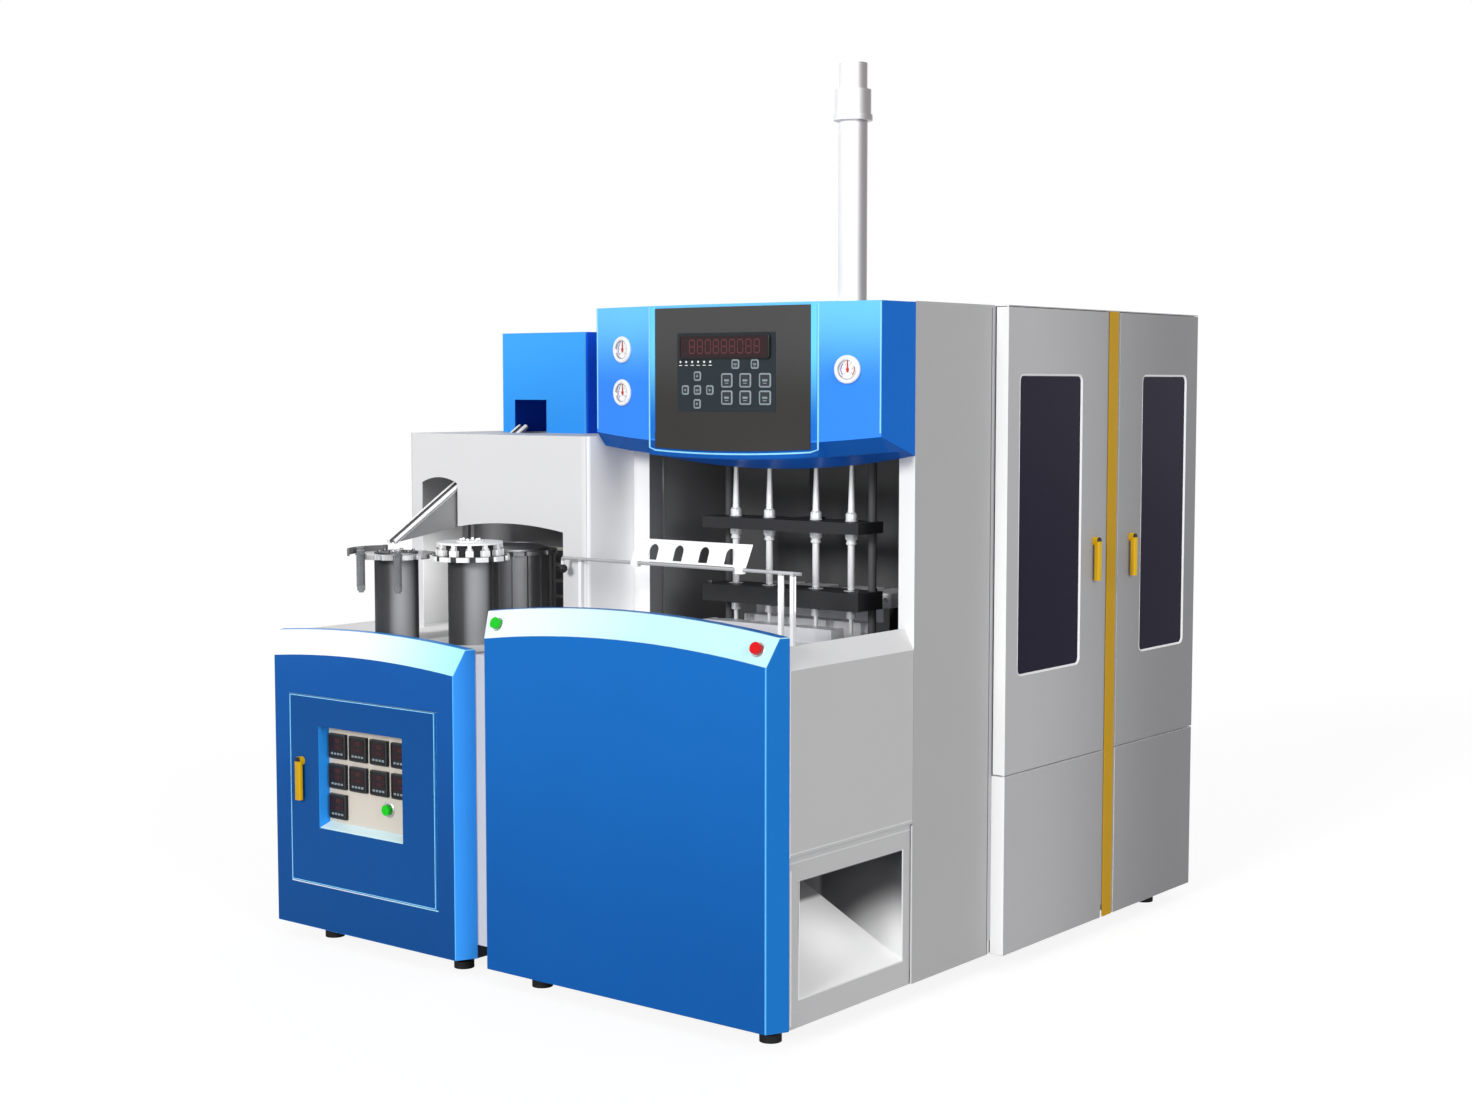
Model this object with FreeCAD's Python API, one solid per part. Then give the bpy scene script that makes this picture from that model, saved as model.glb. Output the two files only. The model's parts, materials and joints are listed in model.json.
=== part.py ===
"""Blow moulding machine: a preform oven and feed on the left, a four-rod blow station under a
control head in the middle, and a tall cabinet with two doors on the right-hand side.

Lengths are millimetres. Sizes are written from a datum at the front right corner of the machine:
x runs from the left (negative) to the right side plane (0), y runs from the front face (0) to the
back, z runs up from the floor (0). The finished pieces are moved so that the origin lies at the
centre of the whole footprint, on the floor.
"""
import FreeCAD, Part
import math
import os

V = FreeCAD.Vector

# ---- driving dimensions -------------------------------------------------------------------
SHEET = 3.0              # thickness of the sheet-metal covers
GAP = 0.3                # gap left between a moving piece and its neighbour

FOOT_H = 50.0            # floor to the underside of the frame
FOOT_R = 30.0
FOOT_PAD_H = 22.0
FOOT_STUD = 24.0         # across the flats of its hexagonal stud
FOOT_INS = ((104.0, 84.0), (176.0, 97.0))  # feet, in from the left and right end of each frame
FOOT_BACK = 136.0        # the body's rear feet, in from its frame's back end
FRAME_H = 40.0           # height of the welded base frame's rails
FRAME_W = 80.0           # width of those rails
POST_W = 50.0            # width of the posts that stand on them

BODY_W = 1026.0          # main body, from its left wall to the right side plane
BODY_Y = 627.0           # front face of the body's columns
BODY_BACK = 2229.0       # back face of the machine
ROOF_Z = 1945.0          # underside of the roof sheet
COLUMN_BACK = 1022.0     # rear edge of the right column cover
COLUMN_FACE = 53.0       # width of the right column's front face
LEFT_COLUMN_W = 64.0

CONSOLE_OVER = 46.0      # how much wider the console is than the body
CONSOLE_W = BODY_W + CONSOLE_OVER  # front console, over its corner returns
CONSOLE_LOW = 1003.0     # height of its front face at the ends
BAND_H = 75.0            # height of the sloped band above the front face
BAND_RUN = 35.0          # how far the band leans back
CORNER_RUN = 31.0        # width of the slanted corner returns, seen from the front
CORNER_DEPTH = 62.0      # their depth
ARCH_RISE = 34.0         # how much higher the band is in the middle
DECK_Z = 1000.0          # top of the front deck
DECK_T = 10.0

CABINET_GAP = 67.0       # between the console and the left cabinet
CABINET_W = 854.0
CABINET_RIGHT = CONSOLE_W + CABINET_GAP  # distances to the left of the side plane
CABINET_LEFT = CABINET_RIGHT + CABINET_W
CABINET_LOW = 884.0      # height of its front face at the ends
CABINET_BACK = 1050.0
CABINET_RISE = 20.0
CABINET_TOP = 950.0      # height of its top deck

SIDE_TOP = 990.0         # right side panel: lower edge of its sloped strip
STRIP_RISE = 58.0
STRIP_LEAN = 30.0
STEP_Z = 500.0           # ledge across the side panel
STEP_IN = 6.0
CHUTE_Y = (107.0, 590.0) # discharge opening
CHUTE_Z = (122.0, 438.0)
CHUTE_DEPTH = 420.0
CHUTE_RISE = 210.0

HEAD_FRONT = 464.0       # y of the control head's front face at its ends
HEAD_BULGE = 60.0        # how far the front face bulges in plan
HEAD_BOTTOM = 1588.0     # height of the front face's lower edge at the ends
HEAD_SAG = 55.0          # how much lower it is in the middle
HEAD_SLOPE = 0.335       # fall of the underside towards the back
STATION_OFF = 23.0       # the blow station stands this far right of the body's middle
STATION_X = STATION_OFF - BODY_W / 2
PANEL_X = (STATION_X - 266.0, STATION_X + 283.0)
PANEL_LOW = 1562.0
PANEL_THICK = 16.0
PANEL_PROUD = 3.0
WINDOW_X = (STATION_X - 174.0, STATION_X + 174.0)
WINDOW_Z = (1645.0, 1864.0)
WINDOW_T = 2.0
GAUGES = ((128.0 - BODY_W, 1822.0), (128.0 - BODY_W, 1697.0), (-96.0, 1761.0))
GAUGE_R = 36.0
GAUGE_T = 18.0
HUB_R = 4.5              # hub of a gauge's needle

STATION_Y = 720.0        # plane of the rods, and of the closed moulds' joint
ROD_OFFSETS = (-211.0, -85.0, 85.0, 211.0)
PLATE_HALF = 284.0
PLATE_Y = (650.0, 775.0)
UPPER_Z = (1297.0, 1330.0)
NOZZLE_Z = (1078.0, 1130.0)
ROD_R = 12.0             # thick stretch of each rod
TIP_R = 6.0              # thin lower stretch
TIP_Z = 1005.0
ROD_TOP = 1700.0
ROD_BORE = 12.6          # holes that the rods run through
COLLAR_R = 18.0
COLLAR_H = 36.0          # how far the collars stand out of the stretch plate
NECK_LEN = 94.0          # thick stretch of a rod above its collar
COLUMN_R = 12.0          # guide columns of the two plates
COLUMN_BORE = 12.05
COLUMN_OFF = 262.0
COLUMN_Y = 752.0
BAY_BACK = 1000.0
BAY_FLOOR = 745.0
BAY_CEILING = 1535.0
MOULD_HALF = 235.0
MOULD_Z = (790.0, 1030.0)
MOULD_T = 60.0
MOULD_OPEN = 70.0        # each mould half stands this far from the joint plane at rest
PLATEN_T = 30.0
BAR_R = 14.0             # bars that the platens slide on
BAR_BORE = 14.05
BAR_OFF = 200.0
BAR_Z = 775.0
BAR_FRONT = 520.0

DRIVE_Y = 820.0          # upright cylinder that moves the stretch plate
DRIVE_R = 10.0
DRIVE_BORE = 10.05
PISTON_LEN = 160.0       # how far its piston rod stands in the cylinder
CYLINDER_R = 45.0
CYLINDER_LEN = 330.0
CYLINDER_CAP = 22.0
CLAMP_Z = 900.0          # cylinder that moves the rear platen
CLAMP_R = 15.0
CLAMP_BORE = 15.05
CLAMP_REACH = 260.0

PIPE_X = STATION_X + 211.0
PIPE_Y = 720.0
PIPE_R = 41.0
PIPE_WALL = 5.0
PIPE_BEAD_Z = 2462.0
PIPE_COLLAR_Z = 2478.0
PIPE_CAP_Z = 2548.0
PIPE_TOP = 2622.0

DOOR_FACE = 45.0         # outer plane of the doors and lower covers
DOOR_T = 40.0
DOOR_Z = (584.0, 1943.0)
DOOR_FRONT = 1037.0      # front edge of the front door
STRIP_W = 57.0           # yellow strip between the doors
STRIP_SIDES = (11.0, 12.0)  # between the strip and the front door, and the rear door
REAR_W = 528.0           # width of the rear door
DOOR_Y = ((DOOR_FRONT, BODY_BACK - REAR_W - STRIP_W - sum(STRIP_SIDES)), (BODY_BACK - REAR_W, BODY_BACK))
DOOR_GLASS_Y = ((DOOR_Y[0][1] - 519.0, DOOR_Y[0][1] - 153.0), (DOOR_Y[1][0] + 149.0, DOOR_Y[1][1] - 76.0))
DOOR_GLASS_Z = (868.0, 1751.0)
GLASS_R = 22.0
GLASS_T = 6.0
STRIP_Y = (DOOR_Y[0][1] + STRIP_SIDES[0], DOOR_Y[1][0] - STRIP_SIDES[1])
HINGE_INSET = 12.0
HINGE_R = 5.0
HINGE_BORE = 5.05
HINGE_LEN = 20.0
PIN_REACH = 4.0          # how far a pin stands out of its door
DOOR_HANDLE_Y = (DOOR_Y[0][1] - 70.0, DOOR_Y[1][0] + 81.0)
DOOR_HANDLE_Z = 1240.0
HANDLE_LEN = 120.0
HANDLE_W = 24.0
HANDLE_OUT = 22.0        # how far a handle stands out of its door
SPINDLE_R = 6.0
SPINDLE_BORE = 6.05

OVEN_W = 767.0
OVEN_LEFT = BODY_W + OVEN_W
OVEN_FRONT = 415.0
OVEN_TOP = 1567.0
OVEN_BACK = 1050.0
OVEN_R = 22.0
ARCH_X = (221.0 - OVEN_LEFT, 671.0 - OVEN_LEFT)
ARCH_Z = 1278.0
ARCH_H = 18.0
NOTCH_X = 61.0 - OVEN_LEFT
LAMP_WALL_Y = 700.0      # inner wall that carries the lamps
LAMP_WALL_TOP = 1360.0
LAMP_X = (193.0 - OVEN_LEFT, 593.0 - OVEN_LEFT)
LAMP_OFF = 20.0
LAMP_ROWS = 5
LAMP_LOW = 1000.0
LAMP_PITCH = 50.0
LAMP_R = 6.0
HOLDER = 18.0
NOTCH_Z = 1412.0

PITCH_R = 123.0          # circle of the star wheels' pockets
RIM_INSET = 5.0          # how far a wheel's rim lies inside that circle
PREFORM_R = 12.0
PREFORM_WALL = 4.0
PREFORM_LEN = 112.0      # below the wheel's top
NECK_RING_R = 17.0
NECK_H = 14.0            # above the wheel's top
CAP_DISC_R = 98.0        # raised disc over the transfer star
CAP_DISC_UP = 34.0
POCKET_R = 15.0
POCKETS = 12
INFEED_XY = (-CABINET_RIGHT - 405.0, 131.0)
STAR_ANGLE = 19.5        # direction from the infeed star to the transfer star, degrees
TURRET_POCKETS = 15
TURRET_RIBS = 18
DRUM_WALL = 8.0
PEDESTAL_R = 66.0
STAR_Z = 1200.0          # underside of the star wheels
STAR_T = 14.0
SHAFT_R = 12.0
SHAFT_BORE = 12.05
STAR_R = PITCH_R - RIM_INSET
TURRET_PITCH = PITCH_R * TURRET_POCKETS / POCKETS
TURRET_R = TURRET_PITCH - RIM_INSET
DRUM_R = TURRET_R - 14
TRANSFER_XY = (INFEED_XY[0] + 2 * PITCH_R * math.cos(math.radians(STAR_ANGLE)),
               INFEED_XY[1] + 2 * PITCH_R * math.sin(math.radians(STAR_ANGLE)))
TURRET_XY = (TRANSFER_XY[0] - (PITCH_R + TURRET_PITCH) * math.sin(math.radians(STAR_ANGLE)),
             TRANSFER_XY[1] + (PITCH_R + TURRET_PITCH) * math.cos(math.radians(STAR_ANGLE)))

RAIL_Y = 380.0
RAIL_Z = 1206.0
RAIL_R = 5.0
RAIL_X = (STATION_X - 600.0, STATION_X + 285.0)
GRIPPER_X = (STATION_X - 330.0, STATION_X + 92.0)
POST_OFFS = (-527.0, 217.0, 258.0)  # posts of the rail, from the station's middle
POST_SIDE = 12.0
GRIPPER_H = 64.0
GRIPPER_LEAN = 25.0
SLOT_PITCH = 94.0
SLOT_W = 34.0
SLOT_H = 44.0

FEEDER_X = (135.0 - OVEN_LEFT, 508.0 - OVEN_LEFT)
FEEDER_Y = (700.0, 1000.0)
FEEDER_TOP = 1885.0
FEEDER_HOLE_X = (FEEDER_X[0] + 60.0, FEEDER_X[0] + 200.0)
FEEDER_HOLE_Z = 1672.0
CHUTE_LOW = V(INFEED_XY[0] - 81.0, 188.0, 1240.0)
CHUTE_HIGH = V(INFEED_XY[0] - 22.0, 705.0, 1586.0)
CHUTE_RAIL_R = 8.0
CHUTE_GAUGE = 30.0       # between the two inclined rails
WEB_SHARE = 0.62         # how far up the rails their webs reach
WEB_DEPTH = 165.0
WEB_T = 3.0
GUIDE_ANGLES = (150.0, 240.0)  # guide rail round the infeed star, degrees
GUIDE_T = 5.0
GUIDE_H = 20.0
GUIDE_GAP = 1.5          # between the preforms' neck rings and the rail

CAB_DOOR_X = (103.0 - CABINET_LEFT, -CABINET_RIGHT - 107.0)
CAB_DOOR_Z = (189.0, 771.0)
CAB_DOOR_T = 20.0
CAB_DOOR_PROUD = 2.0     # how far the cabinet door stands out of the cabinet's front
TRAY_DEPTH = 48.0        # back of the instrument tray
PLATE_T = 4.0            # instrument panel
CELL = 76.0              # one square instrument
CELL_T = 10.0
CAB_WIN_X = (CAB_DOOR_X[0] + 132.0, CAB_DOOR_X[0] + 505.0)
CAB_WIN_Z = (366.0, 681.0)
CAB_HANDLE = (CAB_DOOR_X[0] + 55.0, 566.0)
CAB_BUTTON = (CAB_WIN_X[0] + 267.0, 449.0)

BUTTONS = {"green_button": (70.0 - CONSOLE_W, 1045.0), "red_button": (-70.0, 1045.0)}
BUTTON_R = 16.0
BUTTON_CAP = 12.0
BUTTON_TRAVEL = 4.0
BUTTON_STEM_R = 8.0      # from its middle to a corner of its square section
BUTTON_STEM_BORE = 8.05
BUTTON_STEM = 26.0

PARTS = {}


# ---- helpers ------------------------------------------------------------------------------
def box(x0, x1, y0, y1, z0, z1):
    return Part.makeBox(x1 - x0, y1 - y0, z1 - z0, V(x0, y0, z0))


def rod(x, y, z, radius, length, axis=(0, 0, 1)):
    return Part.makeCylinder(radius, length, V(x, y, z), V(*axis))


def rod_between(start, end, radius):
    return Part.makeCylinder(radius, (end - start).Length, start, end - start)


def prism(points, sweep):
    """A flat outline, given corner by corner, swept along a vector."""
    corners = [V(*point) for point in points]
    return Part.Face(Part.makePolygon(corners + corners[:1])).extrude(V(*sweep))


def turned(profile, x, y):
    """A profile of (radius, height) corners turned about the upright line through x, y."""
    corners = [V(x + radius, y, height) for radius, height in profile]
    face = Part.Face(Part.makePolygon(corners + corners[:1]))
    return face.revolve(V(x, y, 0), V(0, 0, 1), 360)


def fuse(pieces):
    result = pieces[0].multiFuse(pieces[1:]) if len(pieces) > 1 else pieces[0]
    return result.removeSplitter()


def round_edges(shape, radius, keep):
    """Rounds the edges for which keep(edge) is true."""
    chosen = [edge for edge in shape.Edges if keep(edge)]
    return shape.makeFillet(radius, chosen)


def along(axis):
    """A test for straight edges that run along x (0), y (1) or z (2)."""
    def test(edge):
        if edge.Curve.TypeId != "Part::GeomLine":
            return False
        way = edge.tangentAt(edge.FirstParameter)
        return abs(abs((way.x, way.y, way.z)[axis]) - 1) < 1e-6
    return test


def rounded_box(x0, x1, y0, y1, z0, z1, radius, axis):
    return round_edges(box(x0, x1, y0, y1, z0, z1), radius, along(axis))


def add(name, *solids):
    shapes = [solid for item in solids for solid in item.Solids]
    PARTS[name] = Part.makeCompound(shapes) if len(shapes) > 1 else shapes[0]


# ---- arched covers ------------------------------------------------------------------------
def arched_outline(x0, x1, z0, z_end, rise, y):
    """An upright outline in the plane y whose top edge is an arc that is higher in the middle."""
    corners = V(x0, y, z_end), V(x0, y, z0), V(x1, y, z0), V(x1, y, z_end)
    top = Part.Arc(corners[3], V((x0 + x1) / 2, y, z_end + rise), corners[0]).toShape()
    sides = [Part.makeLine(a, b) for a, b in zip(corners[:3], corners[1:])]
    return Part.Wire(sides + [top])


def arched_solid(x0, x1, low, rise, inset=0.0):
    """The solid behind an arched cover: front face, band that leans back, slanted corners."""
    lean = BAND_RUN / CORNER_DEPTH
    z0 = FOOT_H + (0.0 if inset == 0 else -1.0)
    sections = []
    for share, y in ((1.0, 0.0), (1.0 - lean, BAND_RUN), (0.0, CORNER_DEPTH)):
        top = low if share == 1.0 else low + BAND_H
        left = x0 + CORNER_RUN * share + inset
        right = x1 - CORNER_RUN * share - inset
        sections.append(arched_outline(left, right, z0, top - inset, rise, y + inset))
    front = Part.makeLoft(sections[:2], True, True)
    middle = Part.makeLoft(sections[1:], True, True)
    rear = [Part.Face(sections[2]).extrude(V(0, inset, 0))] if inset else []
    return fuse([front, middle] + rear)


def arched_cover(x0, x1, low, rise):
    """A folded cover: the arched solid, hollow from behind and below."""
    return arched_solid(x0, x1, low, rise).cut(arched_solid(x0, x1, low, rise, SHEET))


# ---- frame, feet and fixed covers ---------------------------------------------------------
def frame_outlines():
    """Left, right and back of the welded frames under the body and under the cabinet."""
    return ((-BODY_W + SHEET, -SHEET - STEP_IN, BODY_BACK - SHEET),
            (-CABINET_LEFT + SHEET, -CABINET_RIGHT - SHEET, CABINET_BACK - SHEET))


def base_frame():
    top = FOOT_H + FRAME_H
    rails = []
    front = CORNER_DEPTH
    for left, right, back in frame_outlines():
        rails += [box(left, left + FRAME_W, front, back, FOOT_H, top),
                  box(right - FRAME_W, right, front, back, FOOT_H, top),
                  box(left, right, front, front + FRAME_W, FOOT_H, top),
                  box(left, right, back - FRAME_W, back, FOOT_H, top)]
    left, right, _ = frame_outlines()[0]
    rails.append(box(left, right, BODY_Y, BODY_Y + FRAME_W, FOOT_H, top))
    link_y = CABINET_BACK - 2 * FRAME_W
    rails.append(box(-CABINET_RIGHT - FRAME_W, -BODY_W + FRAME_W, link_y, link_y + FRAME_W, FOOT_H, top))
    add("base_frame", fuse(rails))


def feet_places():
    """Under the rails: two at the front and two at the back of each frame."""
    (left, right, back), (cab_left, cab_right, cab_back) = frame_outlines()
    (in_left, in_right), (cab_in_left, cab_in_right) = FOOT_INS
    half = FRAME_W / 2
    front = CORNER_DEPTH + half
    places = [(left + in_left, front), (right - in_right, front),
              (left + half, back - FOOT_BACK), (right - half, back - FOOT_BACK)]
    for y in (front, cab_back - half):
        places += [(cab_left + cab_in_left, y), (cab_right - cab_in_right, y)]
    return places


def hexagon(x, y, z, across, length):
    """An upright six-sided bar, such as a nut or a stud's end."""
    radius = across / math.sqrt(3)
    corners = [(x + radius * math.cos(step * math.pi / 3), y + radius * math.sin(step * math.pi / 3), z)
               for step in range(6)]
    return prism(corners, (0, 0, length))


def levelling_feet():
    """A round pad with a hexagonal stud that screws into the frame."""
    feet = []
    for x, y in feet_places():
        stud = hexagon(x, y, FOOT_PAD_H, FOOT_STUD, FOOT_H - FOOT_PAD_H)
        feet.append(fuse([rod(x, y, 0, FOOT_R, FOOT_PAD_H), stud]))
    add("levelling_feet", *feet)


def front_console():
    cover = arched_cover(-CONSOLE_W, 0, CONSOLE_LOW, ARCH_RISE)
    for x, z in BUTTONS.values():
        cover = cover.cut(button_bore(x, z))
    add("front_console", cover)


def side_panel():
    """Right side panel with a ledge, a strip that leans inwards and the discharge opening."""
    top = SIDE_TOP + STRIP_RISE
    outer = [(0, SIDE_TOP), (-STRIP_LEAN, top)]
    inner = [(-STRIP_LEAN - SHEET, top), (-SHEET, SIDE_TOP)]
    step_x = -SHEET - STEP_IN
    step = [(-SHEET, STEP_Z + 2 * STEP_IN), (step_x, STEP_Z + STEP_IN), (step_x, FOOT_H)]
    face = [(-STEP_IN, FOOT_H), (-STEP_IN, STEP_Z), (0, STEP_Z + STEP_IN)]
    outline = [(x, CORNER_DEPTH, z) for x, z in outer + inner + step + face]
    panel = prism(outline, (0, BODY_Y - CORNER_DEPTH, 0))
    panel = panel.cut(box(-50, 10, CHUTE_Y[0], CHUTE_Y[1], CHUTE_Z[0], CHUTE_Z[1]))
    add("side_panel", panel)


def discharge_chute():
    """White lining of the discharge opening: two cheeks, a top and a floor that falls outwards."""
    (y0, y1), (z0, z1) = CHUTE_Y, CHUTE_Z
    back = -CHUTE_DEPTH
    front = -STEP_IN
    floor = prism([(front, y0, z0), (back, y0, z0 + CHUTE_RISE), (back, y0, z0 + CHUTE_RISE + SHEET),
                   (front, y0, z0 + SHEET)], (0, y1 - y0, 0))
    cheeks = []
    for y in (y0, y1 - SHEET):
        outline = [(front, y, z0), (back, y, z0 + CHUTE_RISE), (back, y, z1), (front, y, z1)]
        cheeks.append(prism(outline, (0, SHEET, 0)))
    roof = box(back, front, y0, y1, z1 - SHEET, z1)
    add("discharge_chute", fuse([floor, roof] + cheeks))


def front_deck():
    """Deck behind the console, cut out for the front mould half and stopped at the oven."""
    left = -CONSOLE_W + SHEET
    deck = box(left, -3 * SHEET, CORNER_DEPTH, BODY_Y, DECK_Z - DECK_T, DECK_Z)
    cut_x = MOULD_HALF + 25
    deck = deck.cut(box(STATION_X - cut_x, STATION_X + cut_x, BAR_FRONT, BODY_Y + 1, 900, 1100))
    deck = deck.cut(box(left - 1, -BODY_W, OVEN_FRONT, BODY_Y + 1, 900, 1100))
    leg_x = -BODY_W + SHEET
    legs = [box(leg_x, leg_x + POST_W, y, y + POST_W, FOOT_H + FRAME_H, DECK_Z - DECK_T)
            for y in (CORNER_DEPTH, OVEN_FRONT - POST_W)]
    bracket = box(-SHEET - 20, -SHEET, CORNER_DEPTH, BODY_Y, DECK_Z - DECK_T - 30, DECK_Z - DECK_T)
    add("front_deck", fuse([deck, bracket] + legs))


def right_column():
    """Folded column cover: wide grey side, narrow front face and a return into the bay."""
    side = box(-SHEET, 0, BODY_Y, COLUMN_BACK, FOOT_H, ROOF_Z)
    front = box(-COLUMN_FACE, 0, BODY_Y, BODY_Y + SHEET, FOOT_H, ROOF_Z)
    inner = box(-COLUMN_FACE, -COLUMN_FACE + SHEET, BODY_Y, BODY_Y + 60, FOOT_H + FRAME_H, ROOF_Z)
    cover = fuse([side, front, inner])
    add("right_column", cover.cut(box(-200, -SHEET, 600, 700, FOOT_H - 1, FOOT_H + FRAME_H)))


def left_column():
    left = -BODY_W
    front = box(left, left + LEFT_COLUMN_W, BODY_Y, BODY_Y + SHEET, DECK_Z, ROOF_Z)
    sides = [box(x, x + SHEET, BODY_Y, BODY_Y + 60, DECK_Z, ROOF_Z)
             for x in (left, left + LEFT_COLUMN_W - SHEET)]
    foot = box(left, left + LEFT_COLUMN_W, BODY_Y, BODY_Y + 60, FOOT_H + FRAME_H, DECK_Z)
    add("left_column", fuse([front, foot] + sides))


def body_casing():
    """Left wall, back and roof of the main body, folded and welded as one casing."""
    left = box(-BODY_W, -BODY_W + SHEET, BODY_Y + 60, BODY_BACK, FOOT_H + FRAME_H, ROOF_Z)
    back = box(-BODY_W, 0, BODY_BACK - SHEET, BODY_BACK, FOOT_H, ROOF_Z)
    roof = box(-BODY_W, DOOR_FACE, BODY_Y, BODY_BACK, ROOF_Z, ROOF_Z + SHEET)
    roof = roof.cut(box(-1, DOOR_FACE + 1, BODY_Y - 1, DOOR_Y[0][0], ROOF_Z - 1, ROOF_Z + 10))
    roof = roof.cut(rod(PIPE_X, PIPE_Y, ROOF_Z - 1, PIPE_R, 10))
    add("body_casing", fuse([left, back, roof]))


def bay_liner():
    """Dark lining of the blow station: back, two sides, floor with a drop slot, and ceiling."""
    left = -BODY_W + LEFT_COLUMN_W
    right = -COLUMN_FACE
    front = BODY_Y + 60
    t = 2 * SHEET
    walls = [box(left, right, BAY_BACK, BAY_BACK + t, BAY_FLOOR, BAY_CEILING),
             box(left, left + t, front, BAY_BACK, BAY_FLOOR, BAY_CEILING),
             box(right - t, right, front, BAY_BACK, BAY_FLOOR, BAY_CEILING)]
    floor = box(left, right, BODY_Y, BAY_BACK + t, BAY_FLOOR - 10, BAY_FLOOR)
    slot = box(STATION_X - MOULD_HALF, STATION_X + MOULD_HALF, STATION_Y - 55, STATION_Y + 55, 700, 800)
    ceiling = box(left, right, BODY_Y, BAY_BACK + t, BAY_CEILING, BAY_CEILING + 10)
    reach = ROD_OFFSETS[-1] + COLLAR_R
    drive = DRIVE_R + 4
    for y, half_x, half_y in ((STATION_Y, reach, COLLAR_R), (DRIVE_Y, drive, drive)):
        ceiling = ceiling.cut(box(STATION_X - half_x, STATION_X + half_x, y - half_y, y + half_y,
                                  BAY_CEILING - 1, BAY_CEILING + 11))
    clamp = CLAMP_R + 4
    walls[0] = walls[0].cut(box(STATION_X - clamp, STATION_X + clamp, BAY_BACK - 1, BAY_BACK + t + 1,
                                CLAMP_Z - clamp, CLAMP_Z + clamp))
    add("bay_liner", fuse(walls + [floor.cut(slot), ceiling]))


def door_surround():
    """Posts and rails of the right-hand door opening, behind the doors."""
    x0 = -POST_W
    posts = [box(x0, 0, COLUMN_BACK, DOOR_Y[0][0] + 30, FOOT_H + FRAME_H, ROOF_Z),
             box(x0, 0, BODY_BACK - SHEET - 40, BODY_BACK - SHEET, FOOT_H + FRAME_H, ROOF_Z),
             box(x0, 0, DOOR_Y[0][1] - 10, DOOR_Y[1][0] + 10, FOOT_H + FRAME_H, ROOF_Z)]
    rails = [box(x0, 0, COLUMN_BACK, BODY_BACK - SHEET, z, z + 40) for z in (DOOR_Z[0] - 44, ROOF_Z - 40)]
    mullion = box(0, DOOR_FACE - SHEET, DOOR_Y[0][1] + 2, DOOR_Y[1][0] - 2, FOOT_H + FRAME_H, ROOF_Z)
    add("door_surround", fuse(posts + rails + [mullion]))


def lower_cover():
    """Fixed covers below the doors, one on each side of the middle strip."""
    covers = []
    top = DOOR_Z[0] - PIN_REACH
    for y0, y1 in DOOR_Y:
        inner = box(-1, DOOR_FACE - SHEET, y0 + SHEET, y1 - SHEET, FOOT_H - 1, top - 10)
        covers.append(box(0, DOOR_FACE, y0, y1, FOOT_H, top).cut(inner))
    add("lower_cover", *covers)


def yellow_strip():
    add("yellow_strip", box(DOOR_FACE - SHEET, DOOR_FACE + 1, STRIP_Y[0], STRIP_Y[1], FOOT_H, ROOF_Z))


# ---- doors with windows and handles -------------------------------------------------------
def hinge_axes():
    """Upright pivot lines of the two side doors and of the cabinet door: x, y, low and high end."""
    x = DOOR_FACE - HINGE_INSET
    side = [(x, DOOR_Y[0][0] + HINGE_INSET) + DOOR_Z, (x, DOOR_Y[1][1] - HINGE_INSET) + DOOR_Z]
    return side + [(CAB_DOOR_X[1] - HINGE_INSET, SHEET + HINGE_R + 1) + CAB_DOOR_Z]


def hinge_pins():
    """Pins that stand on the covers or lugs outside each door and reach into its ends."""
    length = PIN_REACH + HINGE_LEN
    pins = []
    for index, (x, y, low, high) in enumerate(hinge_axes()):
        top = PIN_REACH if index == 2 else ROOF_Z - high
        pins += [rod(x, y, low - PIN_REACH, HINGE_R, length),
                 rod(x, y, high - HINGE_LEN, HINGE_R, HINGE_LEN + top)]
    add("hinge_pins", *pins)


def bored_for_pins(shape, axis_index):
    x, y, low, high = hinge_axes()[axis_index]
    for z in (low - 1, high - HINGE_LEN - 1):
        shape = shape.cut(rod(x, y, z, HINGE_BORE, HINGE_LEN + 2))
    return shape


def window_hole(y0, y1, z0, z1):
    return rounded_box(-10, DOOR_FACE + 15, y0, y1, z0, z1, GLASS_R, 0)


def side_door(name, index):
    """A pan-shaped door: folded edges, a window with a raised rim, and blocks for its pins."""
    y0, y1 = DOOR_Y[index]
    z0, z1 = DOOR_Z
    back = DOOR_FACE - DOOR_T
    pan = box(back, DOOR_FACE, y0, y1, z0, z1)
    pan = pan.cut(box(back - 1, DOOR_FACE - SHEET, y0 + SHEET, y1 - SHEET, z0 + SHEET, z1 - SHEET))
    x, y, low, high = hinge_axes()[index]
    blocks = [box(back, DOOR_FACE - 1, y - HINGE_INSET, y + HINGE_INSET, z, z + 30) for z in (z0, z1 - 30)]
    gy0, gy1 = DOOR_GLASS_Y[index]
    gz0, gz1 = DOOR_GLASS_Z
    collar = box(DOOR_FACE - 14, DOOR_FACE, gy0 - 10, gy1 + 10, gz0 - 10, gz1 + 10)
    door = fuse([pan, collar] + blocks).cut(window_hole(gy0, gy1, gz0, gz1))
    seat = box(DOOR_FACE - 10, DOOR_FACE - 10 + GLASS_T, gy0 - 4, gy1 + 4, gz0 - 4, gz1 + 4)
    door = bored_for_pins(door.cut(seat), index)
    boss_y = DOOR_HANDLE_Y[index]
    door = door.cut(rod(DOOR_FACE - 20, boss_y, DOOR_HANDLE_Z, SPINDLE_BORE, 40, (1, 0, 0)))
    add(name, door)
    add(name + "_window", seat)
    add(name + "_handle", handle_x(boss_y, DOOR_HANDLE_Z))


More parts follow.
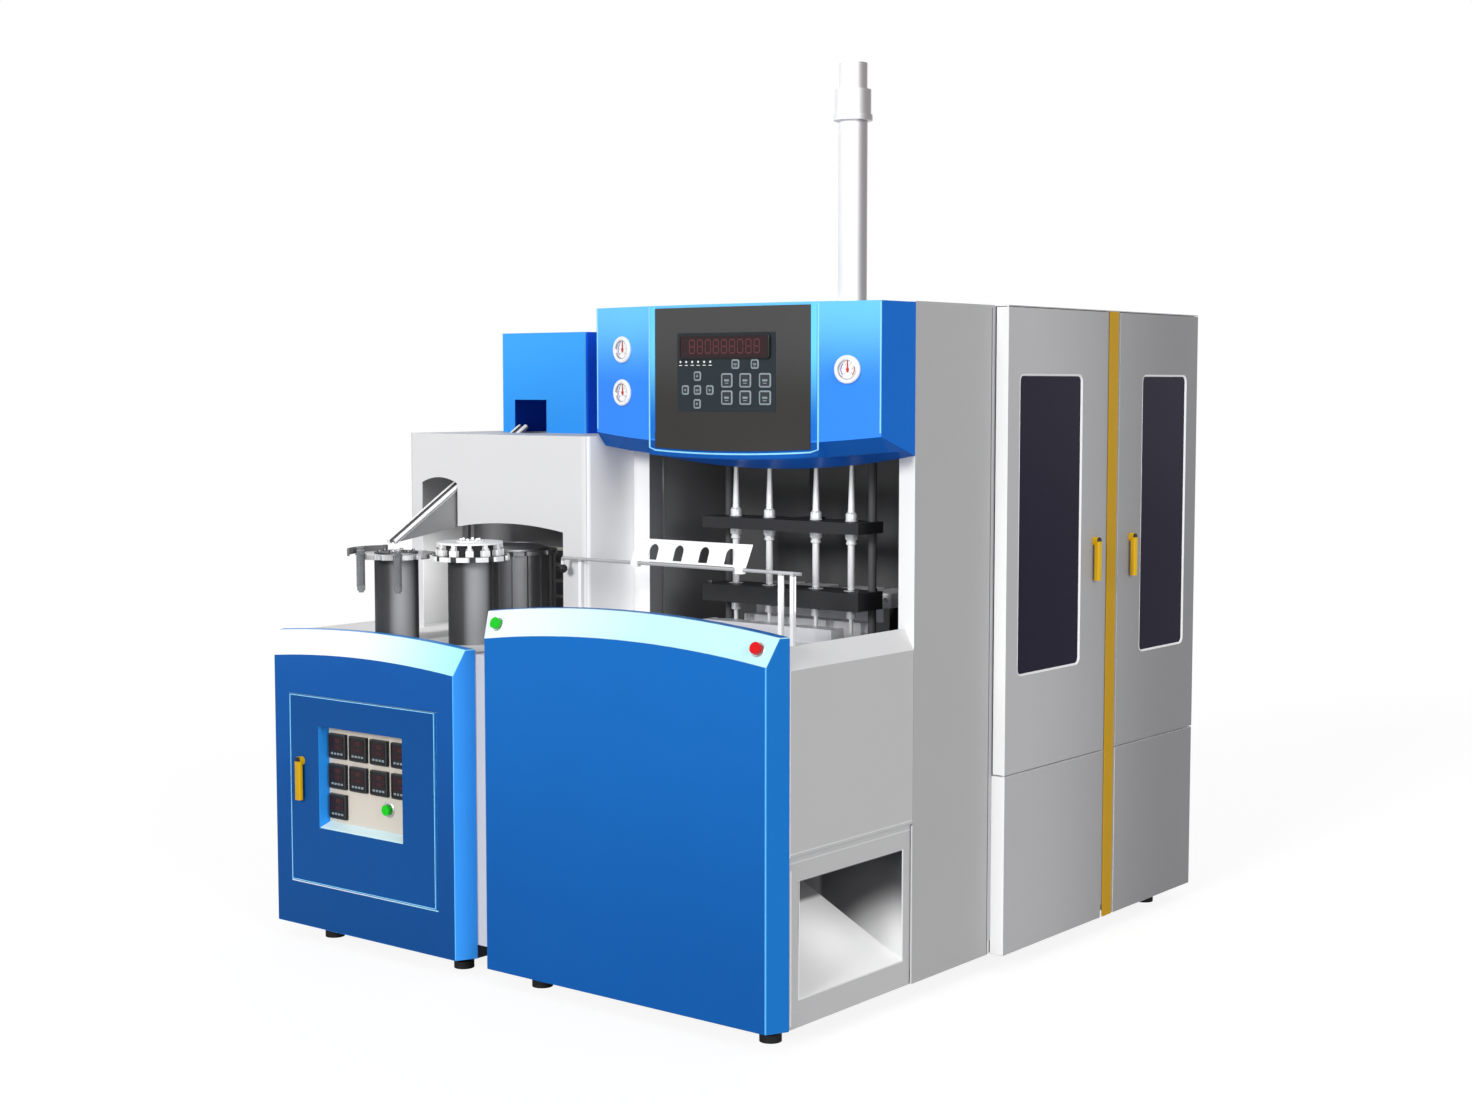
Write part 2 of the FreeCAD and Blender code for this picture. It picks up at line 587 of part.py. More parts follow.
def handle_x(y, z):
    """Lever that hangs from a round pivot on a door whose face looks along +x."""
    face = DOOR_FACE
    pivot = rod(face + GAP, y, z, HANDLE_W / 2 + 2, 16, (1, 0, 0))
    spindle = rod(face - SHEET - GAP - 5, y, z, SPINDLE_R, SHEET + 8, (1, 0, 0))
    half = HANDLE_W / 2
    inner = box(face - SHEET - GAP - 5, face - SHEET - GAP, y - half, y + half, z - half, z + half)
    grip = rounded_box(face + 6, face + HANDLE_OUT, y - half, y + half, z - HANDLE_LEN, z, 5, 2)
    return fuse([pivot, spindle, inner, grip])


def handle_y(x, z):
    """The same lever on the cabinet door, whose face looks along -y."""
    face = -CAB_DOOR_PROUD
    pivot = rod(x, face - GAP, z, HANDLE_W / 2 + 2, 16, (0, -1, 0))
    spindle = rod(x, face - 5, z, SPINDLE_R, SHEET + GAP + 10, (0, 1, 0))
    half = HANDLE_W / 2
    inner = box(x - half, x + half, face + SHEET + GAP, face + SHEET + GAP + 5, z - half, z + half)
    grip = rounded_box(x - half, x + half, face - HANDLE_OUT, face - 6, z - HANDLE_LEN, z, 5, 2)
    return fuse([pivot, spindle, inner, grip])


# ---- control head -------------------------------------------------------------------------
def head_radius():
    half = BODY_W / 2
    return (half * half + HEAD_BULGE * HEAD_BULGE) / (2 * HEAD_BULGE)


def head_front(x, offset=0.0):
    """y of the head's bulged front face at x, or of a face set off from it."""
    radius = head_radius() + offset
    centre = HEAD_FRONT - HEAD_BULGE + head_radius()
    return centre - math.sqrt(radius * radius - (x + BODY_W / 2) ** 2)


def head_slab(x0, x1, z0, z1, inner, outer):
    """A slab that follows the bulge, between two offsets from the front face."""
    middle = (x0 + x1) / 2
    front = [V(x, head_front(x, outer), z0) for x in (x0, middle, x1)]
    rear = [V(x, head_front(x, inner), z0) for x in (x1, middle, x0)]
    edges = [Part.Arc(*front).toShape(), Part.makeLine(front[2], rear[0]),
             Part.Arc(*rear).toShape(), Part.makeLine(rear[2], front[0])]
    return Part.Face(Part.Wire(edges)).extrude(V(0, 0, z1 - z0))


def below_head(drop=0.0):
    """Everything under the head's arched underside, which falls towards the back."""
    y = HEAD_FRONT - HEAD_BULGE - 100
    lift = HEAD_SLOPE * (HEAD_FRONT - y)
    ends = HEAD_BOTTOM + lift - drop
    arc = Part.Arc(V(-BODY_W - 40, y, ends), V(-BODY_W / 2, y, ends - HEAD_SAG), V(40, y, ends)).toShape()
    low = HEAD_BOTTOM - 500
    corners = V(40, y, ends), V(40, y, low), V(-BODY_W - 40, y, low), V(-BODY_W - 40, y, ends)
    sides = [Part.makeLine(a, b) for a, b in zip(corners[:3], corners[1:])]
    depth = 700
    return Part.Face(Part.Wire([arc] + sides)).extrude(V(0, depth, -HEAD_SLOPE * depth))


def head_block(inset):
    """The head's outer form, or the same form set in by a wall."""
    x0 = -BODY_W + inset
    x1 = -inset
    front = [V(x, head_front(x, -inset), HEAD_BOTTOM - 200) for x in (x0, -BODY_W / 2, x1)]
    back = BODY_Y + (1 if inset else 0)
    corners = front[2], V(x1, back, front[0].z), V(x0, back, front[0].z), front[0]
    edges = [Part.Arc(*front).toShape()] + [Part.makeLine(a, b) for a, b in zip(corners[:3], corners[1:])]
    block = Part.Face(Part.Wire(edges)).extrude(V(0, 0, ROOF_Z - inset - front[0].z))
    return block.cut(below_head(-inset))


def control_head():
    """Blue sheet housing with a bulged front and an arched underside, open at the back."""
    shell = head_block(0).cut(head_block(SHEET))
    panel = control_panel_solid()
    shell = shell.cut(panel)
    for x, z in GAUGES:
        shell = shell.cut(gauge_body(x, z))
    add("control_head", shell)


def control_panel_solid():
    slab = head_slab(PANEL_X[0], PANEL_X[1], PANEL_LOW - 20, ROOF_Z - 8, -PANEL_THICK, PANEL_PROUD)
    return slab.cut(below_head(-14))


def control_panel():
    window = WINDOW_X + WINDOW_Z
    sunk = PANEL_PROUD - WINDOW_T
    add("control_panel", control_panel_solid().cut(head_slab(*window, sunk, PANEL_PROUD + 5)))
    add("display_window", head_slab(*window, sunk, PANEL_PROUD))


def gauge_normal(x):
    """Outward direction of the head's front face at x."""
    centre = HEAD_FRONT - HEAD_BULGE + head_radius()
    return V(x + BODY_W / 2, head_front(x) - centre, 0).normalize()


def gauge_body(x, z):
    """A dial case with a rim round a sunk dial and a pin for the needle."""
    normal = gauge_normal(x)
    seat = V(x, head_front(x), z) - normal * (GAUGE_T - 8)
    case = Part.makeCylinder(GAUGE_R, GAUGE_T, seat, normal)
    return case.cut(Part.makeCylinder(GAUGE_R - 7, 7, seat + normal * (GAUGE_T - 6), normal))


def needle(x, z):
    """A tapered needle on an eight-sided hub, in the plane of the dial."""
    normal = gauge_normal(x)
    dial = V(x, head_front(x), z) + normal * (2 + GAP)
    side = normal.cross(V(0, 0, 1))
    corners = [dial + side * a + V(0, 0, b) for a, b in ((-3, -8), (3, -8), (1, 24), (-1, 24))]
    blade = Part.Face(Part.makePolygon(corners + corners[:1])).extrude(normal * 1.2)
    turns = [step * math.pi / 4 for step in range(8)]
    corners = [dial + side * (HUB_R * math.cos(a)) + V(0, 0, HUB_R * math.sin(a)) for a in turns]
    hub = Part.Face(Part.makePolygon(corners + corners[:1])).extrude(normal * 2.4)
    return fuse([blade, hub])


def gauges():
    add("gauge_cases", *[gauge_body(x, z) for x, z in GAUGES])
    for number, (x, z) in enumerate(GAUGES, 1):
        add("gauge_needle_%d" % number, needle(x, z))


def roof_pipe():
    """Upright pipe on the roof with a bead, a sleeve and a narrower end."""
    r = PIPE_R
    inner = r - PIPE_WALL
    low = ROOF_Z + SHEET
    profile = ((inner, ROOF_Z - 20), (r, ROOF_Z - 20), (r, low), (r + 26, low), (r + 26, low + 6),
               (r, low + 6), (r, PIPE_BEAD_Z), (r + 14, PIPE_BEAD_Z), (r + 14, PIPE_COLLAR_Z),
               (r + 10, PIPE_COLLAR_Z), (r + 10, PIPE_CAP_Z), (r - 1, PIPE_CAP_Z), (r - 1, PIPE_TOP),
               (inner, PIPE_TOP))
    add("roof_pipe", turned(profile, PIPE_X, PIPE_Y))


# ---- blow station -------------------------------------------------------------------------
def column_holes(shape, radius):
    for side in (-1, 1):
        shape = shape.cut(rod(STATION_X + side * COLUMN_OFF, COLUMN_Y, BAY_FLOOR - 5, radius, 1000))
    return shape


def guide_columns():
    columns = [rod(STATION_X + side * COLUMN_OFF, COLUMN_Y, BAY_FLOOR, COLUMN_R, BAY_CEILING - BAY_FLOOR)
               for side in (-1, 1)]
    add("guide_columns", *columns)


def stretch_plate():
    x0 = STATION_X - PLATE_HALF
    x1 = STATION_X + PLATE_HALF
    plate = box(x0, x1, PLATE_Y[0], PLATE_Y[1], UPPER_Z[0], UPPER_Z[1])
    for offset in ROD_OFFSETS:
        plate = plate.cut(rod(STATION_X + offset, STATION_Y, UPPER_Z[0] - 1, COLLAR_R, 100))
    arm = box(STATION_X - 30, STATION_X + 30, PLATE_Y[1], DRIVE_Y + 20, UPPER_Z[0], UPPER_Z[1])
    piston = rod(STATION_X, DRIVE_Y, UPPER_Z[0], DRIVE_R, BAY_CEILING + PISTON_LEN - UPPER_Z[0])
    add("stretch_plate", fuse([column_holes(plate, COLUMN_BORE), arm, piston]))


def stretch_rods():
    """Four stepped rods: slim above, a collar that passes through the plate, a thin tip."""
    low = UPPER_Z[0] - COLLAR_H
    high = UPPER_Z[1] + COLLAR_H
    shoulder = NOZZLE_Z[1] + 3
    neck = high + NECK_LEN
    profile = ((0, TIP_Z), (TIP_R, TIP_Z), (TIP_R, shoulder), (ROD_R, shoulder), (ROD_R, low),
               (COLLAR_R, low), (COLLAR_R, high), (ROD_R, high), (ROD_R, neck), (TIP_R, neck),
               (TIP_R, ROD_TOP), (0, ROD_TOP))
    add("stretch_rods", *[turned(profile, STATION_X + offset, STATION_Y) for offset in ROD_OFFSETS])


def nozzle_plate():
    x0 = STATION_X - PLATE_HALF
    x1 = STATION_X + PLATE_HALF
    plate = box(x0, x1, PLATE_Y[0], PLATE_Y[1], NOZZLE_Z[0], NOZZLE_Z[1])
    for offset in ROD_OFFSETS:
        plate = plate.cut(rod(STATION_X + offset, STATION_Y, NOZZLE_Z[0] - 1, ROD_BORE, 100))
    add("nozzle_plate", column_holes(plate, COLUMN_BORE))


def cavity(offset):
    """Half of a bottle's outline, turned about its rod."""
    z0, z1 = MOULD_Z
    profile = ((0, z0 + 22), (36, z0 + 22), (36, z1 - 80), (15, z1 - 30), (15, z1 + 1), (0, z1 + 1))
    return turned(profile, STATION_X + offset, STATION_Y)


def mould_half(side):
    """side is -1 for the front half and 1 for the rear half, both modelled open."""
    x0 = STATION_X - MOULD_HALF
    x1 = STATION_X + MOULD_HALF
    y0, y1 = sorted((STATION_Y, STATION_Y + side * MOULD_T))
    block = box(x0, x1, y0, y1, MOULD_Z[0], MOULD_Z[1])
    for offset in ROD_OFFSETS:
        block = block.cut(cavity(offset))
    return block.translated(V(0, side * MOULD_OPEN, 0))


def platen(side, top):
    x0 = STATION_X - MOULD_HALF
    x1 = STATION_X + MOULD_HALF
    near = STATION_Y + side * (MOULD_T + MOULD_OPEN)
    y0, y1 = sorted((near, near + side * PLATEN_T))
    plate = box(x0, x1, y0, y1, BAR_Z - BAR_R - 12, top)
    for offset in (-BAR_OFF, BAR_OFF):
        plate = plate.cut(rod(STATION_X + offset, y0 - 1, BAR_Z, BAR_BORE, PLATEN_T + 2, (0, 1, 0)))
    return plate


def moulds():
    add("front_mould", mould_half(-1))
    add("rear_mould", mould_half(1))
    add("front_platen", platen(-1, MOULD_Z[1] - 45))
    rear = platen(1, NOZZLE_Z[0] - 6)
    back = STATION_Y + MOULD_T + MOULD_OPEN + PLATEN_T
    piston = rod(STATION_X, back, CLAMP_Z, CLAMP_R, CLAMP_REACH, (0, 1, 0))
    add("rear_platen", fuse([rear, piston]))


def clamp_bars():
    """Two bars between the front bracket and the bay's back wall, for the platens."""
    y1 = BAR_FRONT
    y0 = y1 - 14
    places = (STATION_X - BAR_OFF, STATION_X + BAR_OFF)
    bars = [rod(x, y1, BAR_Z, BAR_R, BAY_BACK - y1, (0, 1, 0)) for x in places]
    bracket = box(places[0] - 30, places[1] + 30, y0, y1, BAR_Z - 30, BAR_Z + 30)
    legs = [box(x - 20, x + 20, y0, y1, BAR_Z + 30, DECK_Z - DECK_T) for x in places]
    add("clamp_bars", fuse([bracket] + legs), *bars)


def clamp_cylinder():
    """Pneumatic cylinder behind the bay, whose piston rod carries the rear platen."""
    y = BAY_BACK + 2 * SHEET
    barrel = rod(STATION_X, y, CLAMP_Z, 60, 180, (0, 1, 0))
    caps = [box(STATION_X - 70, STATION_X + 70, y + shift, y + shift + 24, CLAMP_Z - 70, CLAMP_Z + 70)
            for shift in (0, 156)]
    bore = rod(STATION_X, y - 1, CLAMP_Z, CLAMP_BORE, 165, (0, 1, 0))
    add("clamp_cylinder", fuse([barrel] + caps).cut(bore))


def stretch_cylinder():
    """Pneumatic cylinder on the bay's ceiling, whose piston rod carries the stretch plate."""
    base = BAY_CEILING + 10
    half = CYLINDER_R + 10
    barrel = rod(STATION_X, DRIVE_Y, base, CYLINDER_R, CYLINDER_LEN)
    caps = [box(STATION_X - half, STATION_X + half, DRIVE_Y - half, DRIVE_Y + half, z, z + CYLINDER_CAP)
            for z in (base, base + CYLINDER_LEN - CYLINDER_CAP)]
    bore = rod(STATION_X, DRIVE_Y, base - 1, DRIVE_BORE, PISTON_LEN + 40)
    add("stretch_cylinder", fuse([barrel] + caps).cut(bore))


# ---- preform transfer ---------------------------------------------------------------------
def transfer_rail():
    """Thin rail in front of the station on upright posts that stand on the deck."""
    rail = rod(RAIL_X[0], RAIL_Y, RAIL_Z, RAIL_R, RAIL_X[1] - RAIL_X[0], (1, 0, 0))
    half = POST_SIDE / 2
    places = [STATION_X + offset for offset in POST_OFFS]
    posts = [box(x - half, x + half, RAIL_Y - half, RAIL_Y + half, DECK_Z, RAIL_Z) for x in places]
    pads = [box(x - 14, x + 14, RAIL_Y - 14, RAIL_Y + 14, DECK_Z, DECK_Z + 8) for x in places]
    knob = Part.makeSphere(13, V(RAIL_X[0], RAIL_Y, RAIL_Z - 32))
    neck = box(RAIL_X[0] - 4, RAIL_X[0] + 4, RAIL_Y - 4, RAIL_Y + 4, RAIL_Z - 22, RAIL_Z)
    add("transfer_rail", fuse([rail, knob, neck] + posts + pads))


def transfer_plate():
    """Leaning plate with four arched slots, hooked over the rail by two bored blocks."""
    x0, x1 = GRIPPER_X
    t = 4.0
    z0 = RAIL_Z + RAIL_R + 1
    y = RAIL_Y
    lean = GRIPPER_LEAN
    top = z0 + GRIPPER_H
    outline = [(x0, y, z0), (x0 + 6, y + lean, top), (x1 + 6, y + lean, top), (x1, y, z0)]
    plate = prism(outline, (0, t, 0))
    middle = (x0 + x1) / 2 + 6
    for step in range(4):
        x = middle + (step - 1.5) * SLOT_PITCH
        slot = box(x - SLOT_W / 2, x + SLOT_W / 2, y - 40, y + 80, z0 + 6, z0 + 6 + SLOT_H - SLOT_W / 2)
        arch = rod(x, y - 40, z0 + 6 + SLOT_H - SLOT_W / 2, SLOT_W / 2, 120, (0, 1, 0))
        plate = plate.cut(slot.fuse(arch))
    blocks = [box(x, x + 24, y - 10, y + 10, RAIL_Z - 11, z0 + 1) for x in (x0 + 6, x1 - 30)]
    whole = fuse([plate] + blocks)
    add("transfer_plate", whole.cut(rod(x0 - 10, y, RAIL_Z, RAIL_R + 0.05, x1 - x0 + 20, (1, 0, 0))))


# ---- oven ---------------------------------------------------------------------------------
def oven_opening():
    """Front opening: a wide low arch and a taller notch at its left for the chute."""
    x0, x1 = ARCH_X
    front = OVEN_FRONT - 1
    low = CABINET_TOP - 1
    corners = V(x1, front, ARCH_Z), V(x1, front, low), V(x0, front, low), V(x0, front, ARCH_Z)
    arc = Part.Arc(corners[3], V((x0 + x1) / 2, front, ARCH_Z + ARCH_H), corners[0]).toShape()
    sides = [Part.makeLine(a, b) for a, b in zip(corners[:3], corners[1:])]
    arch = Part.Face(Part.Wire(sides + [arc])).extrude(V(0, 40, 0))
    corners = V(x0, front, NOTCH_Z), V(x0, front, low), V(NOTCH_X, front, low), V(NOTCH_X, front, NOTCH_Z)
    arc = Part.Arc(corners[3], V((x0 + NOTCH_X) / 2, front, NOTCH_Z + ARCH_H), corners[0]).toShape()
    sides = [Part.makeLine(a, b) for a, b in zip(corners[:3], corners[1:])]
    return arch.fuse(Part.Face(Part.Wire(sides + [arc])).extrude(V(0, 40, 0)))


def oven_housing():
    x0 = -OVEN_LEFT
    x1 = -BODY_W
    outer = rounded_box(x0, x1, OVEN_FRONT, OVEN_BACK, CABINET_TOP, OVEN_TOP, OVEN_R, 2)
    inner = rounded_box(x0 + SHEET, x1 - SHEET, OVEN_FRONT + SHEET, OVEN_BACK - SHEET, CABINET_TOP - 1,
                        OVEN_TOP - SHEET, OVEN_R - SHEET, 2)
    shell = outer.cut(inner).cut(oven_opening())
    hole_x0, hole_x1 = FEEDER_HOLE_X
    slot = box(hole_x0, hole_x1, FEEDER_Y[0] - 60, FEEDER_Y[0] + 60, OVEN_TOP - 10, OVEN_TOP + 10)
    liner = box(x0 + SHEET, x1 - SHEET, LAMP_WALL_Y, LAMP_WALL_Y + SHEET, CABINET_TOP, LAMP_WALL_TOP)
    add("oven_housing", fuse([shell.cut(slot), liner]))


def heater_lamps():
    """Rows of lamps on the inner wall behind the turret, each in its two end holders."""
    lamps = []
    x0, x1 = LAMP_X
    y = LAMP_WALL_Y - LAMP_OFF
    for row in range(LAMP_ROWS):
        z = LAMP_LOW + row * LAMP_PITCH
        lamps.append(rod(x0, y, z, LAMP_R, x1 - x0, (1, 0, 0)))
        lamps += [box(x, x + HOLDER, y - HOLDER / 2, LAMP_WALL_Y, z - HOLDER / 2, z + HOLDER / 2)
                  for x in (x0 - HOLDER, x1)]
    add("heater_lamps", *lamps)


def ring_of(xy, count, radius, phase):
    """Points on a circle of the given radius about xy, with their angles."""
    for step in range(count):
        angle = phase + step * 2 * math.pi / count
        yield xy[0] + radius * math.cos(angle), xy[1] + radius * math.sin(angle), angle


def mesh_angle(start, end):
    return math.atan2(end[1] - start[1], end[0] - start[0])


def star_wheel(name, xy, phase, raised):
    """Pocketed wheel with a raised hub plate, on a shaft that turns in its pedestal."""
    x, y = xy
    wheel = rod(x, y, STAR_Z, STAR_R, STAR_T)
    for px, py, _ in ring_of(xy, POCKETS, PITCH_R, phase):
        wheel = wheel.cut(rod(px, py, STAR_Z - 1, POCKET_R, STAR_T + 2))
    pieces = [wheel, rod(x, y, STAR_Z - 60, SHAFT_R, 61), rod(x, y, STAR_Z + STAR_T, 24, 10)]
    if raised:
        pieces += [rod(x, y, STAR_Z + STAR_T, CAP_DISC_R / 2, raised),
                   rod(x, y, STAR_Z + STAR_T + raised, CAP_DISC_R, 6)]
    add(name, fuse(pieces))


def pedestals():
    """Dark round pedestals that carry the two star wheels."""
    solids = []
    for x, y in (INFEED_XY, TRANSFER_XY):
        column = rod(x, y, CABINET_TOP, PEDESTAL_R, STAR_Z - GAP - CABINET_TOP)
        solids.append(column.cut(rod(x, y, STAR_Z - 61, SHAFT_BORE, 80)))
    add("star_pedestals", *solids)


def turret():
    """Large ribbed drum that carries preforms round past the lamps, with a pocketed rim."""
    x, y = TURRET_XY
    low = CABINET_TOP + 20
    hollow = rod(x, y, low - 1, DRUM_R - DRUM_WALL, STAR_Z - DRUM_WALL - low + 1)
    drum = rod(x, y, low, DRUM_R, STAR_Z - low).cut(hollow)
    rim = rod(x, y, STAR_Z, TURRET_R, 12)
    phase = mesh_angle(TURRET_XY, TRANSFER_XY)
    for px, py, _ in ring_of(TURRET_XY, TURRET_POCKETS, TURRET_PITCH, phase):
        rim = rim.cut(rod(px, py, STAR_Z - 1, POCKET_R, 14))
    ribs = []
    for rx, ry, angle in ring_of(TURRET_XY, TURRET_RIBS, DRUM_R - 2, phase + math.pi / TURRET_RIBS):
        rib = Part.makeBox(14, 8, STAR_Z - low, V(-4, -4, low))
        rib.rotate(V(0, 0, 0), V(0, 0, 1), math.degrees(angle))
        ribs.append(rib.translated(V(rx, ry, 0)))
    shaft = rod(x, y, CABINET_TOP - SHEET, SHAFT_R, STAR_Z - CABINET_TOP + SHEET)
    cap = rod(x, y, STAR_Z + 12, 90, 14)
    add("turret", fuse([drum, rim, shaft, cap] + ribs))


def preform(x, y):
    """A preform hanging by its neck ring: an open tube with a stepped lower end."""
    top = STAR_Z + STAR_T
    low = top - PREFORM_LEN
    ring = top + GAP
    mouth = top + NECK_H
    bore = PREFORM_R - PREFORM_WALL
    outside = ((0, low), (bore, low), (bore, low + 6), (PREFORM_R, low + 6), (PREFORM_R, ring),
               (NECK_RING_R, ring), (NECK_RING_R, ring + 3), (PREFORM_R, ring + 3), (PREFORM_R, mouth))
    inside = ((bore, mouth), (bore, low + 20), (0, low + 20))
    return turned(outside + inside, x, y)


def preforms():
    """Preforms held in the pockets of the infeed star."""
    pockets = list(ring_of(INFEED_XY, POCKETS, PITCH_R, math.radians(STAR_ANGLE)))
    add("preforms", *[preform(x, y) for x, y, _ in pockets[6::2]])


def chute():
    """Two inclined rails from the feeder to the infeed star, with webs under them and a leg."""
    run = CHUTE_HIGH - CHUTE_LOW
    across = V(run.y, -run.x, 0).normalize()
    side = across * (CHUTE_GAUGE / 2)
    rails = [rod_between(CHUTE_LOW + side * s, CHUTE_HIGH + side * s, CHUTE_RAIL_R) for s in (-1, 1)]
    mid = CHUTE_LOW + run * WEB_SHARE
    webs = []
    for s in (-1, 1):
        a = CHUTE_LOW + side * s - across * (WEB_T / 2)
        b = mid + side * s - across * (WEB_T / 2)
        outline = [a, b, V(b.x, b.y, b.z - WEB_DEPTH), V(a.x, a.y, a.z - 2)]
        webs.append(Part.Face(Part.makePolygon(outline + outline[:1])).extrude(across * WEB_T))
    drop = V(0, 0, -CHUTE_RAIL_R - 5)
    ties = [rod_between(CHUTE_LOW + run * p - side + drop, CHUTE_LOW + run * p + side + drop, 5)
            for p in (0.08, 0.55)]
    foot_x = mid.x - CHUTE_GAUGE / 2
    leg = box(foot_x - 24, foot_x + 2, mid.y - 20, mid.y - 8, CABINET_TOP, mid.z - WEB_DEPTH + 30)
    add("chute_rails", fuse(rails + webs + ties + [leg]))


def guide_strip():
    """Curved rail that keeps the preforms in the infeed star's pockets, on a post."""
    inner = PITCH_R + NECK_RING_R + GUIDE_GAP
    outer = inner + GUIDE_T
    start, end = [math.radians(angle) for angle in GUIDE_ANGLES]
    z = STAR_Z + STAR_T + NECK_H - GUIDE_H
    angles = (start, (start + end) / 2, end)
    x, y = INFEED_XY
    rim = [[V(x + inner * math.cos(a), y + inner * math.sin(a), z) for a in angles],
           [V(x + outer * math.cos(a), y + outer * math.sin(a), z) for a in reversed(angles)]]
    edges = [Part.Arc(*rim[0]).toShape(), Part.makeLine(rim[0][2], rim[1][0]),
             Part.Arc(*rim[1]).toShape(), Part.makeLine(rim[1][2], rim[0][0])]
    rail = Part.Face(Part.Wire(edges)).extrude(V(0, 0, GUIDE_H))
    post = rod(x + (outer + 4) * math.cos(start), y + (outer + 4) * math.sin(start), CABINET_TOP, 7,
               z + GUIDE_H - CABINET_TOP)
    add("guide_strip", fuse([rail, post]))


def feeder_box():
    """Blue box behind the oven with a square mouth for the inclined rails."""
    x0, x1 = FEEDER_X
    y0, y1 = FEEDER_Y
    outer = round_edges(box(x0, x1, y0, y1, OVEN_TOP, FEEDER_TOP), 12, along(2))
    inner = box(x0 + SHEET, x1 - SHEET, y0 + SHEET, y1 - SHEET, OVEN_TOP - 1, FEEDER_TOP - SHEET)
    mouth = box(FEEDER_HOLE_X[0], FEEDER_HOLE_X[1], y0 - 5, y0 + 20, OVEN_TOP - 1, FEEDER_HOLE_Z)
    add("feeder_box", outer.cut(inner).cut(mouth))


# ---- left cabinet -------------------------------------------------------------------------
def cabinet_shell():
    """Arched cover of the left cabinet, with the door opening and two lugs for the door's pins."""
    cover = arched_cover(-CABINET_LEFT, -CABINET_RIGHT, CABINET_LOW, CABINET_RISE)
    x0, x1 = CAB_DOOR_X
    z0, z1 = CAB_DOOR_Z
    cover = cover.cut(box(x0 - 1.5, x1 + 5, -5, SHEET + 1, z0 - 1.5, z1 + 1.5))
    x, y, low, high = hinge_axes()[2]
    lugs = [box(x - HINGE_INSET, x + HINGE_INSET, SHEET - 1, y + HINGE_R + 3, z, z + 8)
            for z in (low - PIN_REACH - 8, high + PIN_REACH)]
    add("cabinet_shell", fuse([cover] + lugs))


def cabinet_body():
    """Grey box behind the cabinet's front, with its top deck and the filler post beside it."""
    x0, x1 = -CABINET_LEFT, -CABINET_RIGHT
    z0 = FOOT_H + FRAME_H
    outer = box(x0, x1, CORNER_DEPTH, CABINET_BACK, z0, CABINET_TOP)
    inner = box(x0 + SHEET, x1 - SHEET, CORNER_DEPTH - 1, CABINET_BACK - SHEET, z0 - 1, CABINET_TOP - SHEET)
    post = box(x1, -CONSOLE_W, CORNER_DEPTH + 2, CORNER_DEPTH + 42, z0, CABINET_LOW + 60)
    bearing = rod(TURRET_XY[0], TURRET_XY[1], CABINET_TOP - 20, SHAFT_BORE, 40)
    add("cabinet_body", fuse([outer.cut(inner).cut(bearing), post]))


def cabinet_door():
    """Flat door with a window opening whose folded frame holds the instrument panel."""
    x0, x1 = CAB_DOOR_X
    z0, z1 = CAB_DOOR_Z
    face = -CAB_DOOR_PROUD
    back = face + CAB_DOOR_T
    door = box(x0, x1, face, back, z0, z1)
    hollow_x = x1 - SHEET - 2 * HINGE_INSET
    door = door.cut(box(x0 + SHEET, hollow_x, face + SHEET, back + 1, z0 + SHEET, z1 - SHEET))
    wx0, wx1 = CAB_WIN_X
    wz0, wz1 = CAB_WIN_Z
    tray = box(wx0 - SHEET, wx1 + SHEET, face, TRAY_DEPTH, wz0 - SHEET, wz1 + SHEET)
    door = fuse([door, tray]).cut(box(wx0, wx1, face - 1, TRAY_DEPTH + 1, wz0, wz1))
    door = door.cut(rod(CAB_HANDLE[0], face - 5, CAB_HANDLE[1], SPINDLE_BORE, 30, (0, 1, 0)))
    add("cabinet_door", bored_for_pins(door, 2))
    add("cabinet_door_handle", handle_y(*CAB_HANDLE))


def instrument_panel():
    """Light panel in the tray, with rows of square instruments and one button."""
    x0, x1 = CAB_WIN_X
    z0, z1 = CAB_WIN_Z
    back = TRAY_DEPTH - SHEET
    panel = box(x0, x1, back - PLATE_T, back, z0, z1)
    bx, bz = CAB_BUTTON
    add("instrument_panel", panel.cut(rod(bx, back - PLATE_T - 1, bz, BUTTON_STEM_BORE, 10, (0, 1, 0))))
    cells = []
    column = (x1 - x0) / 4
    half = CELL / 2
    front = back - PLATE_T - CELL_T
    for row, count in enumerate((4, 4, 1)):
        for index in range(count):
            x = x0 + column * (index + 0.5)
            z = z1 - column * (2 / 3 + row)
            cells.append(box(x - half, x + half, front, front + CELL_T, z - half, z + half))
    add("instruments", *cells)
    add("cabinet_button", button_along_y(bx, bz, back - PLATE_T))


# ---- push buttons -------------------------------------------------------------------------
def button_along_y(x, z, face):
    """A push button whose cap stands off a face that looks along -y."""
    start = face - BUTTON_TRAVEL - GAP
    cap = rod(x, start, z, BUTTON_R, BUTTON_CAP, (0, -1, 0))
    half = BUTTON_STEM_R / math.sqrt(2)
    return fuse([cap, box(x - half, x + half, start - 1, start - 1 + BUTTON_STEM, z - half, z + half)])


def arc_height(x, half):
    """Height at x of an arc over the console's width, and its slope there."""
    radius = (half * half + ARCH_RISE * ARCH_RISE) / (2 * ARCH_RISE)
    off = x + CONSOLE_W / 2
    depth = math.sqrt(radius * radius - off * off)
    return ARCH_RISE - radius + depth, -off / depth


